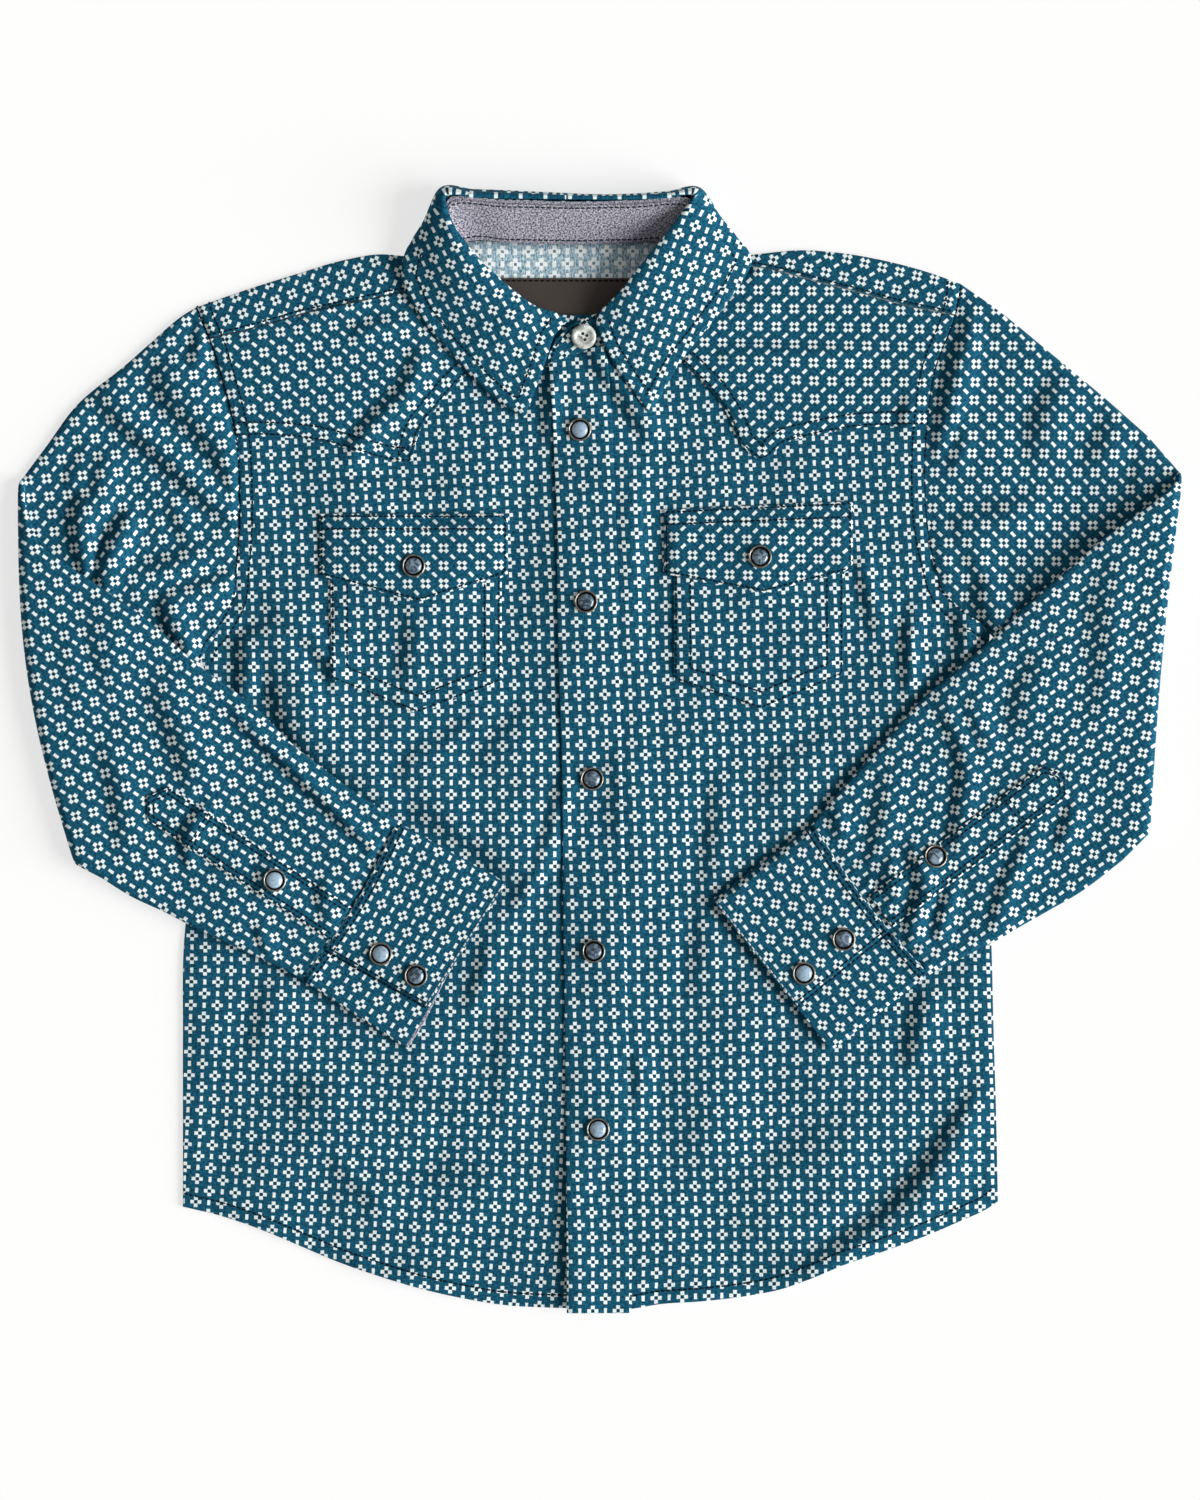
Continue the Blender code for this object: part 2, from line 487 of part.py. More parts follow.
def strip_ends():
    """Where the front strips of the back yoke end, one x, y for each shoulder column."""
    ends = []
    for fold, strip in ((SHOULDER_RIGHT, STRIP_END_RIGHT), (SHOULDER_LEFT[::-1], STRIP_END_LEFT[::-1])):
        span = (fold[-1][0] - fold[0][0])
        places = [strip[0][0] + (x - fold[0][0]) / span * (strip[-1][0] - strip[0][0]) for x, _ in fold]
        ends.append([(x, height_at(strip, x) + SEAM_SLACK) for x in places])
    return ends


def make_back_yoke(collection):
    """The back yoke: flat inside the neck, wrapped over both shoulders to the front seams."""
    radius = 0.5 * (FRONT_UNDERSIDE + 0.5 * WALL - BACK_MID)
    depth = radius + 0.5 * WALL
    right_fold = [(x, y - depth) for x, y in SHOULDER_RIGHT]
    left_fold = [(x, y - depth) for x, y in SHOULDER_LEFT[::-1]]
    top = right_fold + list(BACK_NECK[1:-1]) + left_fold
    left = ARMHOLE_RIGHT[YOKE_SEAM_NODE:0:-1] + tuple(top[:1])
    right = ARMHOLE_LEFT[YOKE_SEAM_NODE:0:-1] + tuple(top[-1:])
    foot = [(left[0][0] + part * (right[0][0] - left[0][0]), left[0][1])
            for part in fractions(len(top) - 1)]
    grid = patch_between(left, right, foot, top)
    points = {}
    for i, j in np.ndindex(grid.shape[:2]):
        x, y = grid[i, j]
        points[(i, j)] = (x, y, BACK_MID + neck_raise(x, y))
    rows = grid.shape[0]
    right_ends, left_ends = strip_ends()
    wraps = list(zip(range(len(right_fold)), right_ends))
    wraps += list(zip(range(len(top) - len(left_fold), len(top)), left_ends))
    for j, strip in wraps:
        x, y, z = points[(rows - 1, j)]
        for step in range(1, 5):
            turn = math.pi * step / 4
            points[(rows - 1 + step, j)] = (x, y + radius * math.sin(turn),
                                            z + radius * (1.0 - math.cos(turn)))
        end_z = FRONT_UNDERSIDE + 0.5 * WALL
        start = np.array((x, y, z + 2.0 * radius))
        for step in (1, 2):
            points[(rows + 3 + step, j)] = tuple(start + 0.5 * step * (np.array((*strip, end_z)) - start))
    cloth("back_yoke", points, collection, TEAL)


def overlay(rows, columns, outer, inner, foot, top, base, layers):
    """Grid of a piece that lies on a front, moved up by its number of layers."""
    return panel_points(rows, columns, outer, inner, foot, top,
                        lambda x, y: base(x, y) + layers * LAYER)


def make_front_yokes(collection):
    """Pointed yokes on the fronts, between shoulder seam, armhole and neckline."""
    points = overlay(
        fractions(5), fractions(12),
        lambda y: side_x(ARMHOLE_RIGHT, SIDE_RIGHT, y), lambda y: -60.0,
        lambda x: height_at(YOKE_FOOT_RIGHT, x), lambda x: height_at(TOP_RIGHT, x), front_mid, 1)
    cloth("front_yoke_right", points, collection, TEAL)
    points = overlay(
        fractions(5), fractions(12),
        lambda y: 39.0, lambda y: side_x(ARMHOLE_LEFT, SIDE_LEFT, y),
        lambda x: height_at(YOKE_FOOT_LEFT, x), lambda x: height_at(TOP_LEFT, x),
        left_front_mid, 1)
    cloth("front_yoke_left", points, collection, TEAL)


def make_placket(collection):
    """The front band on the left front's edge."""
    points = {}
    foot, neck = PLACKET[-1][0], PLACKET[0][0]
    for i, up in enumerate(fractions(18)):
        y = foot + up * (neck - foot)
        open_x, stitched_x = placket_edge(y, 1), placket_edge(y, 2)
        for j, across in enumerate(fractions(3)):
            x = open_x + across * (stitched_x - open_x)
            points[(i, j)] = (x, y, left_front_mid(x, y) + LAYER)
    cloth("placket", points, collection, TEAL)


def patch_points(patch, base, layers, rows):
    """Grid of a pocket or flap: straight sides and top, and a foot with a point."""
    x0, x1 = patch["x"]
    foot_table = ((x0, patch["foot"][0]), (patch["point_x"], patch["foot"][1]), (x1, patch["foot"][2]))
    top_table = ((x0, patch["top"][0]), (x1, patch["top"][1]))
    point = (patch["point_x"] - x0) / (x1 - x0)
    columns = [0.0, 0.5 * point, point, 0.5 + 0.5 * point, 1.0]
    return overlay(rows, columns, lambda y: x0, lambda y: x1,
                   lambda x: height_at(foot_table, x), lambda x: height_at(top_table, x),
                   base, layers)


def make_pockets(collection):
    """Two patch pockets, each under its flap."""
    for side, pocket, flap, base in (("right", POCKET_RIGHT, FLAP_RIGHT, front_mid),
                                     ("left", POCKET_LEFT, FLAP_LEFT, left_front_mid)):
        cloth("pocket_" + side, patch_points(pocket, base, 1, fractions(5)), collection, TEAL)
        cloth("flap_" + side, patch_points(flap, base, 2, fractions(3)), collection, TEAL_DARK)


def section_grid(table, width, along, across):
    """Grid read from smooth curves through a table of sections, width points to a section."""
    sections = np.asarray(table, float).reshape(len(table), width, 3)
    steps = np.linalg.norm(np.diff(sections, axis=0), axis=2).mean(axis=1)
    knots = np.concatenate(([0.0], np.cumsum(steps)))
    points = {}
    for i, part in enumerate(fractions(along)):
        section = curve_through(sections, knots, part * knots[-1])
        for j, out in enumerate(fractions(across)):
            if width == 2:
                place = section[0] + out * (section[1] - section[0])
            else:
                place = curve_through(section, np.arange(width), out * (width - 1))
            points[(i, j)] = tuple(place)
    return points


def make_collar(collection):
    """Stand, leaf and the lining that shows inside the back of the stand."""
    stand = section_grid(STAND, 2, 44, 3)
    cloth("collar_stand", stand, collection, TEAL, STAND_WALL)
    leaf = section_grid(LEAF, 5, 42, 6)
    cloth("collar_leaf", leaf, collection, TEAL_DARK, STAND_WALL)
    slope = np.array(LINING_RISE) / math.hypot(*LINING_RISE)
    away = 0.5 * STAND_WALL + GAP + 0.5 * WALL
    lining = {}
    for i, part in enumerate(fractions(LINING_COLUMNS)):
        x = LINING_X[0] + part * (LINING_X[1] - LINING_X[0])
        flare = LINING_FLARE * (x - LINING_CENTRE_X) / LINING_HALF_WIDTH
        for j, up in enumerate(fractions(2)):
            y = LINING_FOOT[0] + up * LINING_RISE[0] - away * slope[1]
            z = LINING_FOOT[1] + up * LINING_RISE[1] + away * slope[0]
            lining[(i, j)] = (x + up * flare, y, z)
    cloth("stand_lining", lining, collection, CHAMBRAY)


def make_label(collection):
    """Bare label inside the back neck."""
    points = {}
    for i, y in enumerate(LABEL_ROWS):
        for j, x in enumerate(LABEL_COLUMNS):
            points[(i, j)] = (x, y, BACK_MID + neck_raise(x, y) + LAYER)
    cloth("neck_label", points, collection, LABEL_BROWN)


def arm_ring(upper, under, half, turn, shift, armhole_parts):
    """Outer and inner loop of one ring of a sleeve.

    upper and under are the ring's two edges (x, y, z), half its half thickness, turn the angle
    of its thickness from +Z towards the body, and shift an x, y offset for each armhole part.
    """
    upper, under = np.asarray(upper, float), np.asarray(under, float)
    along = (under - upper) / np.linalg.norm(under - upper)
    inward = np.array((-along[1], along[0], 0.0))
    inward *= math.copysign(1.0, -(upper[0] + under[0])) * math.copysign(1.0, inward[0])
    lift = math.cos(turn) * np.array((0.0, 0.0, 1.0)) + math.sin(turn) * inward
    loops = []
    for wall in (0.0, WALL):
        start, stop = upper + wall * along, under - wall * along
        loop = []
        for side in (1.0, -1.0):
            parts = list(enumerate(armhole_parts))
            for index, part in (parts if side > 0.0 else parts[::-1]):
                full = EDGE_ROUND if index in (0, len(parts) - 1) else 1.0
                place = start + part * (stop - start) + np.append(shift[index], 0.0)
                loop.append(place + lift * side * full * (half - wall))
        loops.append(loop)
    return loops


def ring_folds(loops, rows, side):
    """Moves one layer of a ring up along the soft ridges there: side 0 is the first layer."""
    half = len(loops[0]) // 2
    layer = range(0, half) if side == 0 else range(half, 2 * half)
    for loop in loops:
        for index in layer:
            edge = index - side * half
            fade = smoothstep(0.0, 2.0, min(edge, half - 1 - edge))
            loop[index] = loop[index] + np.array((0.0, 0.0, fade * folds(rows, *loop[index][:2])))


def sleeve_rings(armhole, upper_arm, elbow, forearm, cuff):
    """Rings of a sleeve from the armhole, round the elbow fold, to the cuff seam."""
    armhole = np.asarray(armhole, float)
    steps = np.linalg.norm(np.diff(armhole, axis=0), axis=1)
    parts = np.concatenate(([0.0], np.cumsum(steps))) / steps.sum()
    chord = armhole[0] + parts[:, None] * (armhole[-1] - armhole[0])
    bow = armhole - chord
    tangent = np.gradient(armhole, axis=0)
    normal = np.column_stack((-tangent[:, 1], tangent[:, 0]))
    normal /= np.linalg.norm(normal, axis=1)[:, None]
    normal *= math.copysign(1.0, armhole[0][0]) * np.sign(normal[len(normal) // 2, 0])
    clear = ARMHOLE_GAP * normal
    outward = math.copysign(1.0, armhole[0][0])
    rings = []
    knots = np.arange(len(upper_arm))
    for part in fractions(SLEEVE_RINGS_UPPER):
        ax, ay, bx, by, az, bz = curve_through(upper_arm, knots, part * knots[-1])
        half = ARMHOLE_HALF + (SLEEVE_HALF - ARMHOLE_HALF) * smoothstep(0.0, 0.3, part)
        shift = bow * smoothstep(0.8, 0.0, part) + clear
        loops = arm_ring((ax, ay, az + half), (bx, by, bz + half), half, 0.0, shift, parts)
        ring_folds(loops, UPPER_ARM_FOLDS, 0)
        rings.append(loops)
    low = SLEEVE_HALF
    high = FOREARM_UNDERSIDE + SLEEVE_HALF
    turn_radius = 0.5 * (high - low)
    reach = turn_radius + SLEEVE_HALF
    bulge = np.sin(np.pi * parts) * elbow["bulge"]
    for step in range(FOLD_STEPS + 1):
        turn = math.pi * step / FOLD_STEPS
        inset = -outward * (reach - turn_radius * math.sin(turn))
        z = 0.5 * (low + high) - turn_radius * math.cos(turn)
        upper = (elbow["upper"][0] + inset, elbow["upper"][1], z)
        under = (elbow["under"][0] + inset, elbow["under"][1], z)
        shift = np.column_stack((outward * bulge, np.zeros(len(parts))))
        rings.append(arm_ring(upper, under, SLEEVE_HALF, turn, shift, parts))
    knots = np.arange(len(forearm))
    to_wrist = np.subtract(cuff["wrist"][0], cuff["seam"][0])
    to_wrist = to_wrist / np.linalg.norm(to_wrist)
    seam_bow = np.sin(np.pi * parts)[:, None] * cuff["seam_bow"] * to_wrist
    for part in fractions(SLEEVE_RINGS_LOWER):
        ax, ay, bx, by, az, bz = curve_through(forearm, knots, part * knots[-1])
        elbow_bulge = outward * bulge * 0.6 * smoothstep(0.3, 0.0, part)
        shift = np.column_stack((elbow_bulge, np.zeros(len(parts))))
        shift = shift + seam_bow * smoothstep(0.6, 1.0, part)
        loops = arm_ring((ax, ay, az + SLEEVE_HALF), (bx, by, bz + SLEEVE_HALF), SLEEVE_HALF,
                         math.pi, shift, parts)
        ring_folds(loops, FOREARM_FOLDS, 1)
        rings.append(loops)
    return rings


def tube_mesh(name, rings):
    """Closed body of an open-ended tube from rings of an outer and an inner loop."""
    body = bmesh.new()
    verts = [[[body.verts.new([value * MM for value in place]) for place in loop]
              for loop in ring] for ring in rings]
    count = len(rings[0][0])
    for before, after in zip(verts, verts[1:]):
        for index in range(count):
            nxt = (index + 1) % count
            body.faces.new((before[0][index], before[0][nxt], after[0][nxt], after[0][index]))
            body.faces.new((before[1][nxt], before[1][index], after[1][index], after[1][nxt]))
    for ring in (verts[0], verts[-1]):
        for index in range(count):
            nxt = (index + 1) % count
            body.faces.new((ring[0][index], ring[0][nxt], ring[1][nxt], ring[1][index]))
    bmesh.ops.recalc_face_normals(body, faces=body.faces)
    mesh = bpy.data.meshes.new(name)
    body.to_mesh(mesh)
    body.free()
    return mesh


def make_sleeves(collection):
    """Both sleeves, each a hollow flattened tube."""
    right = (ARMHOLE_RIGHT, UPPER_ARM_RIGHT, ELBOW_RIGHT, FOREARM_RIGHT, CUFF_RIGHT)
    left = (ARMHOLE_LEFT, UPPER_ARM_LEFT, ELBOW_LEFT, FOREARM_LEFT, CUFF_LEFT)
    for side, tables in (("right", right), ("left", left)):
        mesh = tube_mesh("sleeve_" + side, sleeve_rings(*tables))
        new_object("sleeve_" + side, mesh, collection, TEAL)


def cuff_path(lap):
    """Way round a cuff: fraction from the upper to the under fold, and height in layers.

    It starts at the lapped top end, runs over the upper fold, along the bottom, over the under
    fold and ends below the top layer.
    """
    path = [(lap * part, 2.0) for part in (1.0, 0.75, 0.5, 0.25, 0.04)]
    path += [(0.012, 1.75), (0.0, 1.0), (0.012, 0.25)]
    path += [(part, 0.0) for part in (0.04, 0.25, 0.5, 0.75, 0.97)]
    path += [(0.992, 0.18), (1.0, 0.5), (0.992, 0.82)]
    path += [(part, 1.0) for part in (0.97, 0.85, 0.72, CUFF_UNDERLAP_TO)]
    return path


def make_cuff(name, cuff, collection):
    """A lapped cuff band from the sleeve's end to the wrist edge."""
    points = {}
    mid = CUFF_UNDERSIDE + 0.5 * WALL
    for i, out in enumerate(fractions(CUFF_RINGS)):
        lap = cuff["lap"][0] + out * (cuff["lap"][1] - cuff["lap"][0])
        ends = [np.add(np.multiply(seam, 1.0 - out), np.multiply(wrist, out))
                for seam, wrist in zip(cuff["seam"], cuff["wrist"])]
        outward = np.subtract(cuff["wrist"][0], cuff["seam"][0])
        outward = outward / np.linalg.norm(outward)
        for j, (across, layers) in enumerate(cuff_path(lap)):
            x, y = ends[0] + across * (ends[1] - ends[0])
            lower = smoothstep(1.2, 0.8, layers) * smoothstep(0.5, 0.9, across)
            bow = cuff["seam_bow"] * math.sin(math.pi * across) * (1.0 - out)
            push = outward * (out * cuff["wrist_under"] * lower + bow)
            points[(i, j)] = (x + push[0], y + push[1], mid + layers * CUFF_LAYER_RISE)
    cloth(name, points, collection, TEAL)


def tower_points(tower):
    """Grid of a tower placket on the forearm: a strip with a pointed end."""
    start, end = np.array(tower["start"]), np.array(tower["end"])
    length = np.linalg.norm(end - start)
    along = (end - start) / length
    across = np.array((-along[1], along[0]))
    forearm_top = FOREARM_UNDERSIDE + 2.0 * SLEEVE_HALF
    points = {}
    for i, part in enumerate(fractions(9)):
        for j, side in enumerate((-0.5, 0.0, 0.5)):
            reach = length + tower["point"] * (1.0 - abs(side) * 2.0)
            x, y = start + along * part * reach + across * side * tower["width"]
            points[(i, j)] = (x, y, forearm_top + GAP + 0.5 * WALL + folds(FOREARM_FOLDS, x, y))
    return points


def turned(name, profile, place, sides, collection, colour, roughness, metallic, closed):
    """Turned piece: profile of (radius, height) round a vertical axis at place."""
    body = bmesh.new()
    verts = [body.verts.new((radius * MM, 0.0, height * MM)) for radius, height in profile]
    for one, other in zip(verts, verts[1:]):
        body.edges.new((one, other))
    if closed:
        body.edges.new((verts[-1], verts[0]))
    mesh = bpy.data.meshes.new(name)
    body.to_mesh(mesh)
    body.free()
    piece = new_object(name, mesh, collection, colour, roughness, metallic)
    piece.location = [value * MM for value in place]
    screw = piece.modifiers.new("Turn", "SCREW")
    screw.steps = sides
    screw.render_steps = sides
    screw.use_merge_vertices = True
    screw.merge_threshold = 0.00001
    screw.use_smooth_shade = True
    return piece


def snap_base(x, y, kind):
    """Height of the surface that a snap sits on."""
    if kind == "placket":
        return left_front_mid(x, y) + LAYER + 0.5 * WALL
    if kind == "flap_right":
        return front_mid(x, y) + 2.0 * LAYER + 0.5 * WALL
    if kind == "flap_left":
        return left_front_mid(x, y) + 2.0 * LAYER + 0.5 * WALL
    if kind == "cuff":
        return CUFF_UNDERSIDE + WALL + 2.0 * CUFF_LAYER_RISE
    return FOREARM_UNDERSIDE + 2.0 * SLEEVE_HALF + LAYER + folds(FOREARM_FOLDS, x, y)


def make_snaps(collection):
    """Pearl snaps: a turned metal ring round a domed pearl."""
    ring = ((SNAP_RING_BORE, 0.0), (SNAP_RING_BORE, 1.1), (0.5 * (SNAP_RING_BORE + SNAP_RADIUS),
            SNAP_RING_HEIGHT), (SNAP_RADIUS, 0.9), (SNAP_RADIUS, 0.0))
    pearl = ((0.0, PEARL_HEIGHT), (0.55 * PEARL_RADIUS, 0.9 * PEARL_HEIGHT),
             (0.9 * PEARL_RADIUS, 0.55 * PEARL_HEIGHT), (PEARL_RADIUS, 0.0), (0.0, 0.0))
    for name, x, y, kind in SNAPS:
        place = (x, y, snap_base(x, y, kind) + GAP)
        turned("snap_ring_" + name, ring, place, SNAP_SIDES, collection, NICKEL, 0.35, 0.9, True)
        turned("snap_pearl_" + name, pearl, place, SNAP_SIDES, collection, PEARL_BLUE, 0.2, 0.0,
               False)


def make_button(collection, cutters):
    """Collar button: a turned disc with a raised rim and four holes."""
    radius, height = BUTTON_RADIUS, BUTTON_HEIGHT
    profile = ((0.0, 0.7 * height), (0.5 * radius, 0.7 * height), (0.68 * radius, height),
               (0.9 * radius, height), (radius, 0.65 * height), (0.85 * radius, 0.0), (0.0, 0.0))
    button = turned("collar_button", profile, BUTTON_AT, BUTTON_SIDES, collection, BUTTON_PEARL,
                    0.25, 0.0, False)
    for index in range(4):
        angle = math.radians(45.0 + 90.0 * index)
        bpy.ops.mesh.primitive_cylinder_add(
            vertices=8, radius=BUTTON_HOLE_RADIUS * MM, depth=4.0 * height * MM,
            location=((BUTTON_AT[0] + BUTTON_HOLE_OFFSET * math.cos(angle)) * MM,
                      (BUTTON_AT[1] + BUTTON_HOLE_OFFSET * math.sin(angle)) * MM,
                      BUTTON_AT[2] * MM))
        cutter = bpy.context.object
        cutter.name = "button_hole_cutter_" + str(index + 1)
        cutter.hide_render = True
        cutter.display_type = "WIRE"
        for holder in list(cutter.users_collection):
            holder.objects.unlink(cutter)
        cutters.objects.link(cutter)
        cut = button.modifiers.new("Hole", "BOOLEAN")
        cut.operation = "DIFFERENCE"
        cut.object = cutter


def main():
    """Builds every piece of the shirt."""
    for old in list(bpy.data.objects):
        bpy.data.objects.remove(old, do_unlink=True)
    shirt = bpy.data.collections.new("western_snap_shirt")
    cutters = bpy.data.collections.new("cutters")
    bpy.context.scene.collection.children.link(shirt)
    bpy.context.scene.collection.children.link(cutters)
    make_back(shirt)
    make_back_yoke(shirt)
    make_fronts(shirt)
    make_front_yokes(shirt)
    make_placket(shirt)
    make_pockets(shirt)
    make_collar(shirt)
    make_label(shirt)
    make_sleeves(shirt)
    make_cuff("cuff_right", CUFF_RIGHT, shirt)
    make_cuff("cuff_left", CUFF_LEFT, shirt)
    cloth("sleeve_placket_right", tower_points(TOWER_RIGHT), shirt, TEAL_DARK)
    cloth("sleeve_placket_left", tower_points(TOWER_LEFT), shirt, TEAL_DARK)
    make_snaps(shirt)
    make_button(shirt, cutters)


main()
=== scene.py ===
"""Looks of the child's western snap shirt, laid flat with its sleeves folded over the front.

Each sewn piece is a fine shell on the form of its CAD solid. Tables are in millimetres, MM
turns them into metres, and right and left are the wearer's. +Z is up and +Y is the collar.
"""
import math
from types import SimpleNamespace

import bpy
import numpy as np
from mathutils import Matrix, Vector
from mathutils.bvhtree import BVHTree


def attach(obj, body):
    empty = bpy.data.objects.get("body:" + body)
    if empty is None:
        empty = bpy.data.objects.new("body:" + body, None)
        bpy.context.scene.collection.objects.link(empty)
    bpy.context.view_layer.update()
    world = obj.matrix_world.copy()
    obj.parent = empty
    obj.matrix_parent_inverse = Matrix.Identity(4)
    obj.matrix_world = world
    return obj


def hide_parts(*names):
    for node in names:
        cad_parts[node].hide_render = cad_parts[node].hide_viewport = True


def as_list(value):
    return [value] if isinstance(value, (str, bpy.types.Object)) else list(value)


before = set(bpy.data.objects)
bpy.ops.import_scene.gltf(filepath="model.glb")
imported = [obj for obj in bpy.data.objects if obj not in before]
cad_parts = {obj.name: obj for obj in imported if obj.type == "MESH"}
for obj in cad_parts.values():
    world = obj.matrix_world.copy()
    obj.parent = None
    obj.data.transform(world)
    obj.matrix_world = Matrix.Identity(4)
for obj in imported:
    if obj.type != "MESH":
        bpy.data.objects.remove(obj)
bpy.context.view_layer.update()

MM = 0.001

# Places that are read in the photograph: its middle and its scale on the floor
PHOTO_MIDDLE = (600.0, 750.0)
MM_PER_PIXEL = 0.46

# Cloth: thickness of one layer and of a piece with turned edges, and the step between pieces
THIN = 0.6
DOUBLE = 0.8
COLLAR_WALL = 1.1
LAYER = 1.0
GRID_STEP = 2.4

# Share of a cloth's area that is stated, so that rounding can't take it over its flat size
AREA_SHARE = 0.999

# Steps in from an edge, close together so that the edge can round off
EDGE_STEPS = (0.0, 0.5, 1.3, 2.6)
SLEEVE_EDGE_STEPS = (0.0, 0.25, 0.8, 1.6, 2.8, 4.4)

# A distance beyond all others, and the smallest length that a direction is worked out from
FAR = 1.0e9
TINY = 1.0e-9

# First guess of a panel's foot and height, and the rounds in which its grid settles
BODY_FOOT = -230.0
BODY_HEIGHT = 420.0
PANEL_ROUNDS = 16

# Swell of the cloth: height and wave length of each size
BODY_SWELL = ((0.80, 62.0), (0.38, 29.0), (0.16, 13.0))
LEAF_SWELL = ((0.40, 28.0), (0.12, 13.0))
SLEEVE_SWELL = ((0.50, 60.0), (0.26, 29.0), (0.14, 13.0))
CUFF_SWELL = ((0.45, 30.0), (0.16, 13.0))

# Body: heights of its layers and forms, and the places where they begin and end
BACK_MID = 0.45
FRONT_MID = 1.8
BODY_CROWN = 1.3
BODY_HALF_WIDTH = 186.0
BODY_CENTRE_X = -4.0
CROWN_TOP_START = 172.0
CROWN_TOP_FULL = 120.0
LAP_FLAT_TO = 17.0
LAP_DOWN_AT = 30.0
UNDERLAP_X = 9.0
EDGE_FALL = 0.55
EDGE_FALL_WIDTH = 5.0
UNDER_SLEEVE_TOP = 3.3
PRESS_DEPTH = 0.9
PRESS_WIDTH = 6.0
FRONT_LOWEST = 1.25
OPEN_EDGE_LIFT = 1.5
OPEN_EDGE_LIE = 0.3
UNDERLAP_RISE = 0.6
PRESS_REACH = 25.0
HEM_PUCKER = 0.10
PLACKET_WIDTH = 28.0

# Fold of the yoke over the shoulders, and rows of its strips on the front
YOKE_FOLD_RADIUS = 0.5 * (FRONT_MID - BACK_MID)
YOKE_FOLD_STEPS = 6
YOKE_STRIP_ROWS = 8

# The collar's back leaf lies under the back yoke, which rises over it
NECK_CENTRE_X = -11.0
NECK_RAISE = 1.6
NECK_RAISE_FROM = 224.0
NECK_RAISE_FULL = 231.5
NECK_HALF_WIDTH = 66.0
NECK_HALF_WIDTH_END = 92.0

# Sleeves
SLEEVE_HALF = 1.6
SLEEVE_LIE = 0.08
ARMHOLE_HALF = 0.95
ARMHOLE_GAP = -0.4
SLEEVE_EDGE_ROUND = 5.0
FOREARM_UNDERSIDE = 4.1
UPPER_ARM_TOP = 3.75
SLEEVE_LOWEST = 1.2
ELBOW_LIFT_REACH = 0.85
CUFF_END_HALF = 1.0
FOLD_STEPS = 12
UPPER_RINGS = 46
FOREARM_RINGS = 84

# Cuffs and tower plackets
CUFF_UNDERSIDE = 4.1
CUFF_RISE = 1.35
CUFF_UNDERLAP_TO = 0.60
CUFF_OVERLAP = (-0.045, -0.034, -0.017)
CUFF_HALF_LAYER = 0.5
CUFF_LENGTH = 55.0
CUFF_WIDTH = 85.0
TOWER_GAP = 0.12
TOWER_PRINT_SHIFT = 3.1

# Collar: points of a leaf section, and gaps over the yoke and inside the stand
LEAF_POINTS = 5
LEAF_GAP = 0.35
LINING_GAP = 0.2

# Print: pitch of its lattice across and along the warp, cross and dash
PITCH_ACROSS = 5.96
PITCH_ALONG = 5.66
CROSS_REACH = 1.68
CROSS_HALF = 0.86
DASH_HALF_WIDTH = 0.68
DASH_HALF_LENGTH = 1.28
PRINT_SOFTNESS = 0.16
LATTICE_OFFSET = 400.0

# Depth in metres that a bump of 1 stands for
BUMP_DISTANCE = 0.0001

# Lean of the grain of each front and of the placket, and how it grows upwards
LEAN_RIGHT = 0.014
BEND_RIGHT = 0.00032
LEAN_LEFT = 0.034
BEND_LEFT = 0.0001

# Stitches
STITCH_LENGTH = 2.2
STITCH_PITCH = 2.5
STITCH_HALF_WIDTH = 0.40
STITCH_HEIGHT = 0.12
STITCH_LIFT = 0.02
STITCH_RING = ((1.0, 0.35), (0.0, 1.0), (-1.0, 0.35), (0.0, -0.2))

# Height that pieces are looked down on from, to find their upper face
SEEN_FROM = 60.0

# Snaps and the collar button with its holes
SNAP_RADIUS = 5.3
PEARL_RADIUS = 3.75
BUTTON_RADIUS = 5.75
ROUND_SIDES = 48
SNAP_LIFT = 0.1
BUTTON_LIFT = 0.3
HOLE_SIDES = 20
HOLE_RADIUS = 0.75
HOLES_OFF_CENTRE = 1.45
BEAD_FROM = 4.52
BEAD_HALF = 0.5 * (SNAP_RADIUS - BEAD_FROM)

# Profiles, radius and height: the snap's dark groove, the foot of its ring, and the button
GROOVE_PROFILE = ((PEARL_RADIUS - 0.05, 0.25), (PEARL_RADIUS + 0.05, 0.62), (PEARL_RADIUS + 0.2, 0.66),
                  (4.42, 0.62), (4.5, 0.75))
RING_FOOT = ((SNAP_RADIUS, 0.3), (SNAP_RADIUS - 0.1, 0.0))
BUTTON_PROFILE = ((0.01, 1.15), (1.4, 1.15), (2.6, 1.2), (3.3, 1.45), (3.9, 1.9), (4.7, 2.05), (5.3, 1.85),
                  (BUTTON_RADIUS, 1.3), (5.5, 0.6), (4.8, 0.1), (0.01, 0.0))

# Armhole seams from the shoulder fold to the underarm: x, y
ARMHOLE_RIGHT = ((-185.0, 203.8), (-183.5, 199.2), (-179.4, 189.5), (-172.5, 167.4),
                 (-167.0, 144.0), (-165.6, 122.0), (-165.6, 101.2), (-167.0, 83.3),
                 (-168.4, 69.5), (-173.9, 58.4), (-182.0, 47.4), (-183.5, 43.2))
ARMHOLE_LEFT = ((165.6, 214.4), (165.0, 208.5), (163.0, 200.0), (153.2, 173.0),
                (150.4, 153.6), (149.0, 129.0), (150.4, 101.2), (153.2, 87.4),
                (158.7, 70.8), (168.0, 62.5), (176.0, 58.0), (179.4, 55.2))

# Side seams from the underarm to the hem: x, y
SIDE_RIGHT = ((-183.5, 43.2), (-180.5, 30.0), (-181.5, 0.0), (-187.0, -50.0),
              (-191.4, -90.0), (-191.8, -130.0), (-191.8, -170.0), (-191.8, -210.0))
SIDE_LEFT = ((179.4, 55.2), (177.5, 30.0), (177.5, 0.0), (178.5, -45.0),
             (180.0, -88.8), (181.0, -130.0), (182.2, -168.0), (183.0, -207.5))

